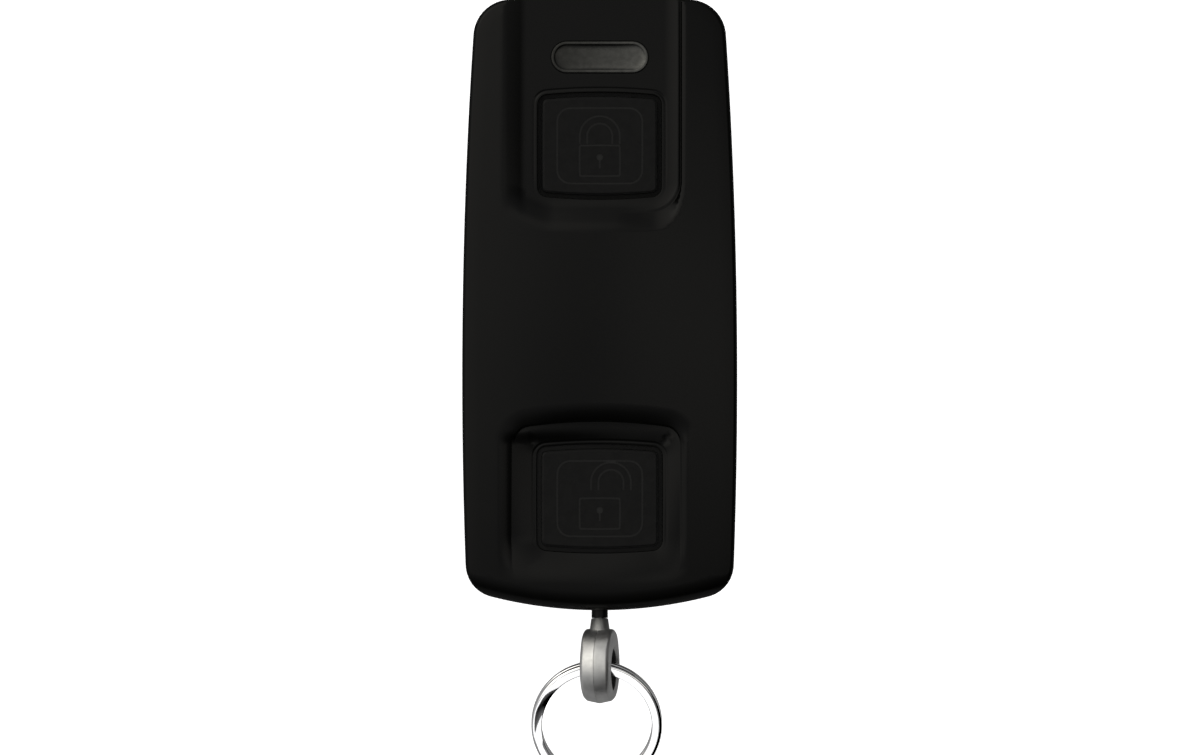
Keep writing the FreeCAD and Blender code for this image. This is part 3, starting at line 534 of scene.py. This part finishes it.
# green solder mask with copper tracks under it
def boardFinish():
    look = {"mask": (0.012, 0.1, 0.035), "track": (0.03, 0.2, 0.07), "trackScale": 620, "trackWidth": 0.06,
            "shade": 0.85, "relief": 0.02, "roughness": 0.32}
    material, tree, shader = shaderNodes("greenSolderMask")
    coords = tree.nodes.new("ShaderNodeTexCoord")
    bricks = tree.nodes.new("ShaderNodeTexBrick")
    bricks.inputs["Scale"].default_value = look["trackScale"]
    bricks.inputs["Mortar Size"].default_value = look["trackWidth"]
    bricks.inputs["Color1"].default_value = (*look["mask"], 1)
    bricks.inputs["Color2"].default_value = (*[c * look["shade"] for c in look["mask"]], 1)
    bricks.inputs["Mortar"].default_value = (*look["track"], 1)
    tree.links.new(coords.outputs["Object"], bricks.inputs["Vector"])
    tree.links.new(bricks.outputs["Color"], shader.inputs["Base Color"])
    tree.links.new(addBump(tree, bricks.outputs["Fac"], look["relief"], 1.0), shader.inputs["Normal"])
    shader.inputs["Roughness"].default_value = look["roughness"]
    return material


# button plastic: grained top, a painted highlight in a thin band at the height of the engraved lines' floor
# (it also crosses the cap's rounded edge), and painted light on the key below the rim, down in the gap of the
# opening
def keyFinish(name, lineZ):
    look = {"colours": ((0.0018, 0.0018, 0.0018), (0.003, 0.003, 0.0029)), "patchScale": 900,
            "roughness": (0.5, 0.6), "specular": 0.0, "coat": 0.2, "coatRoughness": 0.45,
            "grainScale": 2600, "grainDepth": 0.014, "line": (0.0125, 0.0125, 0.012), "lineBand": 0.03,
            "paintedGapLight": (0.006, 0.006, 0.0058), "paintedGapLightZ": 11.5}
    material = finish(name, look)
    tree = material.node_tree
    shader = tree.nodes["Principled BSDF"]
    grained = shader.inputs["Base Color"].links[0].from_socket
    height = ownAxis(tree, "Z")
    # a paler band at the height of the lines' floor, also across the cap's rounded edge: painted highlight
    onLineHighlight = addMath(tree, "COMPARE", height, lineZ * mm, look["lineBand"] * mm)
    # below this height the key is paler: painted light down in the gap round the key, which the opening
    # shades
    inPaintedGapLight = addMath(tree, "LESS_THAN", height, look["paintedGapLightZ"] * mm)
    lined = addMix(tree, "RGBA", onLineHighlight, grained, (*look["line"], 1))
    tree.links.new(addMix(tree, "RGBA", inPaintedGapLight, lined, (*look["paintedGapLight"], 1)), shader.inputs["Base Color"])
    return material


# badge metal: fine satin grain, and painted light and shade: darker at its left end, paler towards its right
# end
def badgeFinish():
    look = {**usualLook, "left": (0.025, 0.025, 0.0235), "right": (0.06, 0.06, 0.057), "reach": 6.0,
            "mottle": 0.14, "mottleScale": 1500, "mottleDetail": 3.0, "roughness": (0.3, 0.44),
            "grainScale": 3800, "grainDepth": 0.006}
    material, tree, shader = shaderNodes("satinBadgeMetal")
    # darker left, paler right across the badge: painted light and shade
    across = addRange(tree, ownAxis(tree, "X"), 0.0, 1.0, -look["reach"] * mm, look["reach"] * mm)
    metal = addMix(tree, "RGBA", across, (*look["left"], 1), (*look["right"], 1))
    mottle = addNoise(tree, look["mottleScale"], look["mottleDetail"])
    mottle = addRange(tree, mottle, 1 - look["mottle"], 1 + look["mottle"])
    tree.links.new(addMix(tree, "RGBA", 1.0, metal, mottle, "MULTIPLY"), shader.inputs["Base Color"])
    shader.inputs["Metallic"].default_value = 1.0
    addGrain(tree, shader, look)
    return material


keyLineZ = {"grainedLockKey": 13.13, "grainedUnlockKey": 12.58}  # floor of the engraved lines
for name, lineZ in keyLineZ.items():
    materials[name] = keyFinish(name, lineZ)
materials["greenSolderMask"] = boardFinish()
materials["satinBadgeMetal"] = badgeFinish()

finishOfNode = {
    "front_shell": "satinBlackShell", "rear_shell": "backShellBlack", "battery_door": "doorBlack",
    "housing_seal": "softSealRubber", "cell_gasket": "softSealRubber", "badge_plate": "satinBadgeMetal",
    "lock_button": "grainedLockKey", "unlock_button": "grainedUnlockKey", "swivel_bush": "smoothBushBlack",
    "swivel_eye": "satinCastMetal", "swivel_pin": "satinCastMetal", "split_ring": "polishedRingSteel",
    "lock_switch": "mouldedSwitchBlack", "unlock_switch": "mouldedSwitchBlack",
    "controller_chip": "mouldedSwitchBlack", "lock_plunger": "redPlunger", "unlock_plunger": "redPlunger",
    "circuit_board": "greenSolderMask", "radio_shield": "stampedShieldSteel", "crystal": "stampedShieldSteel",
    "antenna": "antennaTrackBrass", "cell_can": "coinCellSteel", "cell_cap": "coinCellSteel",
    "cell_holder": "holderBlack", "positive_contact": "platedContact", "negative_contact": "platedContact",
}
for name, node in nodes.items():
    if name.startswith(("housing_screw", "board_screw")):
        wanted = "zincScrewSteel"
    elif name.startswith("capacitor"):
        wanted = "tanCapacitor"
    else:
        wanted = finishOfNode[name]
    node.data.materials.clear()
    node.data.materials.append(materials[wanted])
print("finishes given to", len(nodes), "nodes")


# mesh with its own normals where they are given
def makePiece(name, bm, material, body, replaced=None, normals=None):
    mesh = bpy.data.meshes.new(name)
    bm.to_mesh(mesh)
    bm.free()
    mesh.transform(Matrix.Scale(mm, 4))
    mesh.materials.append(material)
    mesh.polygons.foreach_set("use_smooth", [True] * len(mesh.polygons))
    if normals is not None:
        mesh.normals_split_custom_set(normals)
    piece = bpy.data.objects.new(name, mesh)
    bpy.context.scene.collection.objects.link(piece)
    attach(piece, body)
    if replaced:
        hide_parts(replaced)
    return piece


# front shell: one moulded skin with trays, openings, badge recess, side wall and inner wall.
# Each inset or growth lays a row of points along an outline, the rows closest where the skin bends most.
shellMesh = {
    "bodyInsets": (0, 0.012, 0.05, 0.115, 0.21, 0.33, 0.46, 0.6, 0.9, 1.3, 1.75, 2.2, 2.7, 3.3),
    "lockGrowths": (-1.6, -1.2, -0.8, -0.4, -0.1, 0.12, 0.24, 0.31, 0.38, 0.45, 0.52, 0.59, 0.66, 0.69,
                    0.73, 0.76, 0.82, 0.92, 1.04, 1.18, 1.38, 1.7, 2.1, 2.5, 2.9, 3.3, 3.8, 4.3),
    "unlockGrowths": (-3.0, -2.4, -1.9, -1.4, -1.0, -0.7, -0.5, -0.35, -0.26, -0.17, -0.1, -0.05, 0.0,
                      0.15, 0.32, 0.52, 0.72, 0.95, 1.25, 1.6, 2.0, 2.5, 3.1),
    "holeGrowths": (0.0, 0.02, 0.05, 0.1, 0.22, 0.3, 0.38, 0.46, 0.54, 0.62, 0.7, 0.78, 0.95),
    "badgeGrowths": (0.0, 0.1),
    "bodyStep": 0.75, "trayStep": 0.55, "trayArc": 90, "holeStep": 0.4, "badgeStep": 0.4,
    "edgeMargin": 0.05, "looseGrowth": -0.6, "holeMargin": 1.2, "closedMargin": 0.3, "rollMargin": 2.7,
    "gridStep": 1.3, "gridRows": 31, "gridColumns": 14, "gridInBody": 3.9, "gridFromHole": 1.3,
    "gridFromBadge": 0.6, "noGridLock": (-2.3, 4.7), "noGridUnlock": (-3.5, 3.6),
    "weld": 1e-4, "rimBand": 0.2, "badgeBand": 0.1, "steepest": 0.3, "facing": 0.5,
}


def gridSpotClear(x, y):
    s = shellMesh
    lockLow, lockHigh = s["noGridLock"]
    unlockLow, unlockHigh = s["noGridUnlock"]
    clear = -outsideBy(bodyShape, x, y) > s["gridInBody"]
    clear &= not lockLow < outsideBy(lockTrayShape, x, y) < lockHigh
    clear &= not unlockLow < outsideBy(unlockTrayShape, x + unlockTray["shift"], y) < unlockHigh
    clear &= min(outsideBy(lockHole, x, y), outsideBy(unlockHole, x, y)) > s["gridFromHole"]
    return clear and pillDistance(badge, x, y) > s["gridFromBadge"]


def skinPoints():
    s = shellMesh
    points, edges = [], []

    def addRow(row, closed=True):
        start, count = len(points), len(row)
        points.extend(Vector(p) for p in row)
        edges.extend((start + i, start + (i + 1) % count) for i in range(count if closed else count - 1))

    for inset in s["bodyInsets"]:
        addRow(outlineLoop(bodyShape, -inset, s["bodyStep"]))
    for growth in s["lockGrowths"]:
        loop = outlineLoop(lockTrayShape, growth, s["trayStep"], s["trayArc"])
        kept = [p for p in loop if outsideBy(bodyShape, *p) < -s["edgeMargin"]]
        turn = max(range(len(kept)), key=lambda i: math.dist(kept[i], kept[i - 1]))
        addRow(kept[turn:] + kept[:turn], closed=False)
    for growth in s["unlockGrowths"]:
        loop = outlineLoop(unlockTrayShape, growth, s["trayStep"])
        loop = [(x - unlockTray["shift"], y) for x, y in loop]
        if growth < s["looseGrowth"]:
            points.extend(Vector(p) for p in loop if outsideBy(unlockHole, *p) > s["holeMargin"])
        elif max(outsideBy(bodyShape, *p) for p in loop) < -s["closedMargin"]:
            addRow(loop)
        else:
            points.extend(Vector(p) for p in loop if outsideBy(bodyShape, *p) < -s["rollMargin"])
    for hole in (lockHole, unlockHole):
        for growth in s["holeGrowths"]:
            addRow(outlineLoop(hole, growth, s["holeStep"]))
    for growth in s["badgeGrowths"]:
        addRow(pillLoop(badge, badge["gap"] + growth, s["badgeStep"]))
    for row in range(-s["gridRows"], s["gridRows"] + 1):
        for column in range(-s["gridColumns"], s["gridColumns"] + 1):
            x, y = (column + 0.5 * (row % 2)) * s["gridStep"], row * s["gridStep"]
            if gridSpotClear(x, y):
                points.append(Vector((x, y)))
    return points, edges


# the skin's faces, each marked in the layer "skin"
def skinFaces(points, edges):
    found = geometry.delaunay_2d_cdt(points, edges, [], 0, shellMesh["weld"])
    flat, faces = found[0], found[2]
    bm = bmesh.new()
    skin = bm.faces.layers.int.new("skin")
    verts = [bm.verts.new((p.x, p.y, frontHeight(p.x, p.y))) for p in flat]
    for face in faces:
        x = sum(flat[i].x for i in face) / 3
        y = sum(flat[i].y for i in face) / 3
        if outsideBy(bodyShape, x, y) > 0 or pillDistance(badge, x, y) < badge["gap"]:
            continue
        if outsideBy(lockHole, x, y) < 0 or outsideBy(unlockHole, x, y) < 0:
            continue
        bm.faces.new([verts[i] for i in face])[skin] = 1
    bmesh.ops.delete(bm, geom=[v for v in bm.verts if not v.link_faces], context="VERTS")
    return bm


def skinRims(bm):
    rims = {"body": [], "holes": [], "badge": []}
    for edge in bm.edges:
        if edge.is_boundary:
            x, y = [(a + b) / 2 for a, b in zip(edge.verts[0].co.xy, edge.verts[1].co.xy)]
            if abs(outsideBy(bodyShape, x, y)) < shellMesh["rimBand"]:
                rims["body"].append(edge)
            elif abs(pillDistance(badge, x, y) - badge["gap"]) < shellMesh["badgeBand"]:
                rims["badge"].append(edge)
            else:
                rims["holes"].append(edge)
    return rims


# side wall, inner wall, walls of the openings, ceiling and the floor of the badge recess
def closeShell(bm):
    rims = skinRims(bm)

    def pull(rim, place):
        made = bmesh.ops.extrude_edge_only(bm, edges=rim)["geom"]
        for v in made:
            if isinstance(v, bmesh.types.BMVert):
                v.co = place(v.co)
        return [e for e in made if isinstance(e, bmesh.types.BMEdge)]

    def downTo(z):
        return lambda co: Vector((co.x, co.y, z))

    def inward(co):
        normal, wall = frontNormal(co.x, co.y), housing["wall"]
        return Vector((co.x - normal.x * wall, co.y - normal.y * wall, housing["splitZ"]))

    side = pull(rims["body"], downTo(housing["splitZ"]))
    inner = pull(side, inward)
    ceiling = pull(inner, downTo(housing["ceilingZ"]))
    ceiling += pull(rims["holes"], downTo(housing["ceilingZ"]))
    recess = pull(rims["badge"], downTo(lockFloorZ(badge["y"]) - badge["depth"]))
    bmesh.ops.contextual_create(bm, geom=recess)
    bmesh.ops.triangle_fill(bm, edges=ceiling, use_beauty=True)
    bmesh.ops.recalc_face_normals(bm, faces=bm.faces)
    bm.normal_update()
    if min(bm.faces, key=lambda f: f.calc_center_median().xy.length).normal.z < 0:
        bmesh.ops.reverse_faces(bm, faces=bm.faces)
        bm.normal_update()


# the skin and the side wall's rim take the front's own normals, so that the rim is smooth
def shellNormals(bm):
    s = shellMesh
    skin = bm.faces.layers.int["skin"]
    cache, normals = {}, []
    for face in bm.faces:
        steep = abs(face.normal.z) < s["steepest"]
        for loop in face.loops:
            co, normal = loop.vert.co, face.normal
            if face[skin] == 1:
                if loop.vert not in cache:
                    cache[loop.vert] = frontNormal(co.x, co.y)
                normal = cache[loop.vert]
            elif steep and abs(outsideBy(bodyShape, co.x, co.y)) < s["rimBand"]:
                outward = frontNormal(co.x, co.y)
                normal = outward if normal.dot(outward) > s["facing"] else normal
            normals.append(tuple(normal))
    return normals


def buildFrontShell():
    bm = skinFaces(*skinPoints())
    closeShell(bm)
    normals = shellNormals(bm)
    print("front shell:", len(bm.verts), "points")
    makePiece("front_skin", bm, materials["satinBlackShell"], "housing", "front_shell", normals)


buildFrontShell()

# badge plate: dished pill with a raised rim, its face parallel to the tray floor
badgePlate = {
    "proud": 0.12, "dishLong": 0.2, "dishWide": 0.04, "dishFrom": 0.3, "dishFade": 0.5,
    "arcSteps": 28, "straightSteps": 18, "sharp": 60.0,
    "profile": ((0.0, 0.7), (0.0, 0.1), (0.015, 0.04), (0.05, 0.01), (0.1, 0.0), (0.3, 0.0), (0.36, 0.01),
                (0.44, 0.06), (0.52, 0.085), (0.6, 0.09), (0.9, 0.09), (1.2, 0.09), (1.5, 0.09), (1.8, 0.09),
                (2.04, 0.09)),
}


# faces between neighbouring rows of points
def bridge(bm, rows, closed=True):
    faces = []
    for one, two in zip(rows, rows[1:]):
        for i in range(len(one) if closed else len(one) - 1):
            j = (i + 1) % len(one)
            faces.append(bm.faces.new((one[i], one[j], two[j], two[i])))
    return faces


def badgeRow(inset):
    s = badgePlate
    straight, radius = badge["halfX"] - badge["halfY"], badge["halfY"] - inset
    row = []
    for end in (1, -1):
        for i in range(s["arcSteps"] + 1):
            a = math.pi * (i / s["arcSteps"] - 0.5) + (0 if end > 0 else math.pi)
            row.append((end * straight + radius * math.cos(a), radius * math.sin(a)))
        for i in range(1, s["straightSteps"]):
            row.append((end * straight * (1 - 2 * i / s["straightSteps"]), end * radius))
    return row


def buildBadge():
    s = badgePlate
    bm = bmesh.new()
    rows = []
    for inset, drop in s["profile"]:
        inside = smoothStep((inset - s["dishFrom"]) / s["dishFade"])
        row = []
        for x, y in badgeRow(inset):
            plane = lockFloorZ(badge["y"] + y) + s["proud"]
            dish = s["dishLong"] * (1 - (x / badge["halfX"]) ** 2)
            dish += s["dishWide"] * (1 - (y / badge["halfY"]) ** 2)
            row.append(bm.verts.new((x, badge["y"] + y, plane - drop - dish * inside)))
        rows.append(row)
    bridge(bm, rows)
    bm.faces.new(rows[-1])
    bm.faces.new(list(reversed(rows[0])))
    bmesh.ops.recalc_face_normals(bm, faces=bm.faces)
    plate = makePiece("badge_dish", bm, materials["satinBadgeMetal"], "housing", "badge_plate")
    plate.data.set_sharp_from_angle(angle=math.radians(s["sharp"]))


buildBadge()
print("badge made")

# swivel eye: facets, parting seam and rounded shoulders, turned as in the solids
eye = {
    "y": -48.75, "z": 7.3, "turn": -10.0, "outer": 5.05, "bore": 3.05, "half": 2.0, "flat": 1.6,
    "crest": 0.34, "chamfer": 0.75, "boreChamfer": 0.52, "boreCrest": 0.12, "boreBand": 0.1,
    "seamHalf": 0.05, "seamDepth": 0.07, "seamEdge": 0.01, "steps": 144, "sharp": 40.0,
    "seamRound": 0.02, "crestRound": 0.12, "edgeRound": 0.16, "boreRound": 0.2,
    "roundShare": 2.2, "roundSteps": 3,
    "holeShrink": 0.42, "holeY": -0.5, "holeZ": -0.75,
    "shoulderCrest": 0.06, "shoulderChamfer": 0.34, "shoulderFlat": 1.75, "shoulderFrom": 0.5,
    "shoulderFade": 0.4,
    "neckTop": -42.31, "neckLength": 1.79, "neckSink": 0.4, "neckTip": 1.15, "neckRoot": 1.4,
    "neckBevel": 0.12, "neckFlare": 0.35, "neckSteps": 48,
}


# points that round the corner between two edges
def roundCorner(here, before, after, size, steps):
    start, end = here + before.normalized() * size, here + after.normalized() * size
    points = []
    for k in range(steps + 1):
        t = k / steps
        points.append(start * (1 - t) ** 2 + here * 2 * t * (1 - t) + end * t * t)
    return points


def cornerEdges(corners, i):
    here = Vector(corners[i][:2])
    return here, Vector(corners[i - 1][:2]) - here, Vector(corners[(i + 1) % len(corners)][:2]) - here


def eyeProfile(crest, chamfer, flat):
    s = eye
    corners = [(s["seamHalf"], s["outer"] - s["seamEdge"], s["seamRound"]),
               (flat, s["outer"] - crest, s["crestRound"]),
               (s["half"], s["outer"] - chamfer, s["edgeRound"]),
               (s["half"], s["bore"] + s["boreChamfer"], s["edgeRound"]),
               (s["flat"], s["bore"] + s["boreCrest"], s["crestRound"]), (0.0, s["bore"], s["boreRound"])]
    corners += [(-x, r, size) for x, r, size in reversed(corners[:-1])]
    corners += [(0.0, s["outer"] - s["seamDepth"], s["seamRound"])]
    points = []
    for i, corner in enumerate(corners):
        here, before, after = cornerEdges(corners, i)
        size = min(corner[2], before.length / s["roundShare"], after.length / s["roundShare"])
        points += roundCorner(here, before, after, size, s["roundSteps"])
    return points


def addEyeBody(bm):
    s = eye
    plain = eyeProfile(s["crest"], s["chamfer"], s["flat"])
    shoulder = eyeProfile(s["shoulderCrest"], s["shoulderChamfer"], s["shoulderFlat"])
    rows = []
    for i in range(s["steps"]):
        a = 2 * math.pi * i / s["steps"]
        square = smoothStep((math.sin(a) - s["shoulderFrom"]) / s["shoulderFade"])
        row = []
        for p, q in zip(plain, shoulder):
            inner = p.y < (s["outer"] + s["bore"]) / 2
            p = p.lerp(q, square)
            r = p.y - s["holeShrink"] if inner else p.y
            y, z = (s["holeY"], s["holeZ"]) if inner else (0.0, 0.0)
            row.append(bm.verts.new((p.x, y + r * math.sin(a), z + r * math.cos(a))))
        rows.append(row)
    count = len(plain)
    for n, face in enumerate(bridge(bm, rows + rows[:1])):
        outermost = max(plain[n % count].y, plain[(n + 1) % count].y)
        # faces inside the bore take the second, much darker material: painted shade
        face.material_index = 1 if outermost < s["bore"] + s["boreCrest"] + s["boreBand"] else 0


def addEyeNeck(bm):
    s = eye
    top = s["neckTop"] - s["y"]
    root = top - s["neckLength"] - s["neckSink"]
    neck = [(s["neckTip"] - s["neckBevel"], top), (s["neckTip"], top - s["neckBevel"]),
            (s["neckRoot"], root + s["neckFlare"]), (s["neckRoot"] + s["neckFlare"], root)]
    rows = []
    for i in range(s["neckSteps"]):
        a = 2 * math.pi * i / s["neckSteps"]
        rows.append([bm.verts.new((r * math.cos(a), y, r * math.sin(a))) for r, y in neck])
    bridge(bm, rows + rows[:1], closed=False)
    bm.faces.new([row[0] for row in rows])
    bm.faces.new([row[-1] for row in rows])


def buildEye():
    s = eye
    bm = bmesh.new()
    addEyeBody(bm)
    addEyeNeck(bm)
    bmesh.ops.recalc_face_normals(bm, faces=bm.faces)
    bmesh.ops.rotate(bm, verts=bm.verts, matrix=Matrix.Rotation(math.radians(s["turn"]), 3, "Y"))
    bmesh.ops.translate(bm, verts=bm.verts, vec=(0, s["y"], s["z"]))
    casting = makePiece("eye_casting", bm, materials["satinCastMetal"], "swivel", "swivel_eye")
    casting.data.materials.append(materials["paintedShadeBoreMetal"])
    casting.data.set_sharp_from_angle(angle=math.radians(s["sharp"]))


buildEye()

# split ring: two flat turns of one wire with a single step
ring = {
    "outer": 8.85, "width": 1.4, "height": 1.0, "gap": 0.06, "outerEdge": 0.4, "innerEdge": 0.12,
    "edgeSteps": 7, "crown": 0.07, "crownPoints": 4, "crownInset": 0.27, "crownShift": 0.13,
    "tilt": 17.0, "step": 26.0, "pivotY": -48.95, "shiftX": -0.4, "centreZ": 3.4977,
    "turnSteps": 180, "climbSteps": 24, "sharp": 50.0,
    "lean": ((92, 0), (110, 5), (121, 5), (159, -13), (197, 0)),
    "hollow": ((149, 0), (167, 1), (186, 1), (200, 0)), "hollowDepth": 1.8,
}


# the wire leans and hollows a little where it was opened, so that part of it turns away from the light
def along(stops, angle):
    for (a, low), (b, high) in zip(stops, stops[1:]):
        if a <= angle <= b:
            return low + (high - low) * smoothStep((angle - a) / (b - a))
    return 0.0


def ringSection():
    s = ring
    halfX, halfZ = s["width"] / 2, s["height"] / 2
    top = []
    for i in range(-s["crownPoints"], s["crownPoints"] + 1):
        x = i / s["crownPoints"] * (halfX - s["crownInset"]) - s["crownShift"]
        top.append((x, halfZ - s["crown"] * (x / halfX) ** 2))
    edgeZ = halfZ - s["crown"]
    corners = [(halfX, -edgeZ, s["outerEdge"]), (halfX, edgeZ, s["outerEdge"])]
    corners += [(x, z, 0.0) for x, z in reversed(top)]
    corners += [(-halfX, edgeZ, s["innerEdge"]), (-halfX, -edgeZ, s["innerEdge"])]
    corners += [(x, -z, 0.0) for x, z in top]
    points = []
    for i, corner in enumerate(corners):
        here, before, after = cornerEdges(corners, i)
        points += roundCorner(here, before, after, corner[2], s["edgeSteps"]) if corner[2] else [here]
    return points


# the wire's path: a flat turn below, the step up and a flat turn above
def ringStops():
    s = ring
    turnZ = (s["height"] + s["gap"]) / 2
    stepAngle = math.radians(s["step"])
    sweep = 2 * math.pi - stepAngle
    below = [(stepAngle + sweep * i / s["turnSteps"], -turnZ) for i in range(s["turnSteps"] + 1)]
    climb = []
    for i in range(1, s["climbSteps"]):
        share = i / s["climbSteps"]
        climb.append((2 * math.pi + stepAngle * share, -turnZ * math.cos(math.pi * share)))
    above = [(2 * math.pi + stepAngle + sweep * i / s["turnSteps"], turnZ)
             for i in range(s["turnSteps"] + 1)]
    return below + climb + above


def buildRing():
    s = ring
    mean = s["outer"] - s["width"] / 2
    section = ringSection()
    bm = bmesh.new()
    rows = []
    for angle, height in ringStops():
        place = (math.degrees(angle) - 90 - s["step"] / 2) % 360
        lean, hollow = math.radians(along(s["lean"], place)), along(s["hollow"], place)
        row = []
        for p in section:
            sag = hollow * s["hollowDepth"] * s["crown"] * (1 - (p.x * 2 / s["width"]) ** 2)
            level = p.y - sag * (1 if p.y > 0 else -1)
            reach = mean + (p.x * math.cos(lean) + level * math.sin(lean))
            z = level * math.cos(lean) - p.x * math.sin(lean)
            row.append(bm.verts.new((reach * math.cos(angle), reach * math.sin(angle), height + z)))
        rows.append(row)
    bridge(bm, rows)
    bm.faces.new(rows[0])
    bm.faces.new(rows[-1])
    bmesh.ops.recalc_face_normals(bm, faces=bm.faces)
    tilt = math.radians(s["tilt"])
    turn = Matrix.Rotation(tilt, 4, "X") @ Matrix.Rotation(math.radians(-90 - s["step"] / 2), 4, "Z")
    move = Matrix.Translation((s["shiftX"], s["pivotY"] - mean * math.cos(tilt), s["centreZ"]))
    bmesh.ops.transform(bm, verts=bm.verts, matrix=move @ turn)
    wire = makePiece("ring_wire", bm, materials["polishedRingSteel"], "key_ring", "split_ring")
    wire.data.set_sharp_from_angle(angle=math.radians(s["sharp"]))


buildRing()
print("eye and ring made")

# floor: white to the camera, dim in reflections, and it keeps the remote's shadow
studio = {
    "floorSize": 3.0, "floorCells": 8, "floorDrop": 0.02, "floorGlow": 0.86, "floorInReflections": 0.06,
    "floorColour": (0.8, 0.8, 0.8), "floorColourInReflections": (0.3, 0.3, 0.3),
    "skyTowards": (-0.55, 0.45, 0.7), "skyDiffuse": 0.85, "skyWarm": (1.0, 0.975, 0.91),
    "warmFrom": 0.72, "warmTo": 0.86,
    "skyStops": ((0.0, 0.06), (0.2, 0.16), (0.31, 0.26), (0.42, 0.36), (0.53, 0.48), (0.61, 0.55), (0.7, 0.6),
                 (0.8, 1.15), (0.9, 1.65), (1.0, 1.9)),
    "camera": {"x": 0.04, "y": -9.86, "z": 12.0, "distance": 1.0, "frameWidth": 161.0, "sensor": 36.0,
               "clip": 0.01},
}


def floorFinish():
    material = bpy.data.materials.new("whiteFloor")
    material.use_nodes = True
    tree = material.node_tree
    tree.nodes.clear()
    path = tree.nodes.new("ShaderNodeLightPath")
    seen = addMath(tree, "MULTIPLY", path.outputs["Is Camera Ray"], studio["floorGlow"])
    through = addMath(tree, "MULTIPLY", path.outputs["Is Transmission Ray"], studio["floorGlow"])
    mirrored = addMath(tree, "MULTIPLY", path.outputs["Is Glossy Ray"], studio["floorInReflections"])
    glow = tree.nodes.new("ShaderNodeEmission")
    level = addMath(tree, "MAXIMUM", addMath(tree, "MAXIMUM", seen, through), mirrored)
    tree.links.new(level, glow.inputs["Strength"])
    colour = addMix(tree, "RGBA", path.outputs["Is Glossy Ray"], (*studio["floorColour"], 1),
                    (*studio["floorColourInReflections"], 1))
    matt = tree.nodes.new("ShaderNodeBsdfDiffuse")
    tree.links.new(colour, matt.inputs["Color"])
    added = tree.nodes.new("ShaderNodeAddShader")
    tree.links.new(glow.outputs[0], added.inputs[0])
    tree.links.new(matt.outputs[0], added.inputs[1])
    out = tree.nodes.new("ShaderNodeOutputMaterial")
    tree.links.new(added.outputs[0], out.inputs["Surface"])
    return material


def buildFloor():
    bm = bmesh.new()
    cells = studio["floorCells"]
    bmesh.ops.create_grid(bm, x_segments=cells, y_segments=cells, size=studio["floorSize"] / 2)
    mesh = bpy.data.meshes.new("studio_floor")
    bm.to_mesh(mesh)
    bm.free()
    mesh.materials.append(floorFinish())
    floor = bpy.data.objects.new("studio_floor", mesh)
    bpy.context.scene.collection.objects.link(floor)
    floor.location.z = -studio["floorDrop"] * mm


# sky: brightest towards one side, warm there in reflections, even for soft light, white to the camera
def buildWorld():
    world = bpy.data.worlds.new("softStudio")
    bpy.context.scene.world = world
    world.use_nodes = True
    tree = world.node_tree
    tree.nodes.clear()
    path = tree.nodes.new("ShaderNodeLightPath")
    mirrored = path.outputs["Is Glossy Ray"]
    coords = tree.nodes.new("ShaderNodeTexCoord")
    facing = tree.nodes.new("ShaderNodeVectorMath")
    facing.operation = "DOT_PRODUCT"
    facing.inputs[1].default_value = Vector(studio["skyTowards"]).normalized()
    tree.links.new(coords.outputs["Generated"], facing.inputs[0])
    fall = tree.nodes.new("ShaderNodeFloatCurve")
    curve = fall.mapping.curves[0]
    for i, (at, level) in enumerate(studio["skyStops"]):  # at half level, because a curve ends at 1
        if i < 2:
            curve.points[i].location = (at, level / 2)
        else:
            curve.points.new(at, level / 2)
    fall.mapping.update()
    tree.links.new(facing.outputs["Value"], fall.inputs["Value"])
    sky = addMath(tree, "MULTIPLY", fall.outputs["Value"], 2.0)
    level = addMix(tree, "FLOAT", mirrored, studio["skyDiffuse"], sky)
    level = addMix(tree, "FLOAT", path.outputs["Is Camera Ray"], level, 1.0)
    warm = addRange(tree, facing.outputs["Value"], 0.0, 1.0, studio["warmFrom"], studio["warmTo"])
    warm = addMath(tree, "MULTIPLY", warm, mirrored)
    background = tree.nodes.new("ShaderNodeBackground")
    tint = addMix(tree, "RGBA", warm, (1, 1, 1, 1), (*studio["skyWarm"], 1))
    tree.links.new(tint, background.inputs["Color"])
    tree.links.new(level, background.inputs["Strength"])
    out = tree.nodes.new("ShaderNodeOutputWorld")
    tree.links.new(background.outputs[0], out.inputs["Surface"])


# the ring has a large white card of its own in front, which the black shell doesn't see
lamps = {
    "key": {"place": (-0.75, 0.55, 0.85), "size": (0.5, 0.5), "power": 0.8, "colour": (1.0, 0.97, 0.9)},
    "fill": {"place": (0.47, -0.05, 1.06), "size": (0.27, 0.9), "power": 0.72, "colour": (1.0, 0.97, 0.88)},
    "ringCard": {"place": (-0.17, -0.85, 0.6), "size": (0.6, 1.3), "power": 2.9, "colour": (1.0, 1.0, 1.0),
                 "only": "ring_wire"},
}


def buildLamps():
    for name, s in lamps.items():
        light = bpy.data.lights.new(name, "AREA")
        light.shape = "RECTANGLE"
        light.size, light.size_y = s["size"]
        light.energy = s["power"]
        light.color = s["colour"]
        lamp = bpy.data.objects.new(name, light)
        bpy.context.scene.collection.objects.link(lamp)
        lamp.location = s["place"]
        lamp.rotation_euler = (Vector(s["place"])).to_track_quat("Z", "Y").to_euler()
        if "only" in s:
            receivers = bpy.data.collections.new(name + "Receivers")
            receivers.objects.link(bpy.data.objects[s["only"]])
            lamp.light_linking.receiver_collection = receivers


def buildCamera():
    s = studio["camera"]
    data = bpy.data.cameras.new("photoCamera")
    data.sensor_width = s["sensor"]
    data.lens = s["sensor"] * s["distance"] / (s["frameWidth"] * mm)
    data.clip_start = s["clip"]
    camera = bpy.data.objects.new("photoCamera", data)
    bpy.context.scene.collection.objects.link(camera)
    camera.location = (s["x"] * mm, s["y"] * mm, s["z"] * mm + s["distance"])
    bpy.context.scene.camera = camera


buildFloor()
buildWorld()
buildLamps()
buildCamera()
bpy.context.scene.view_settings.view_transform = "Standard"
print("studio ready")
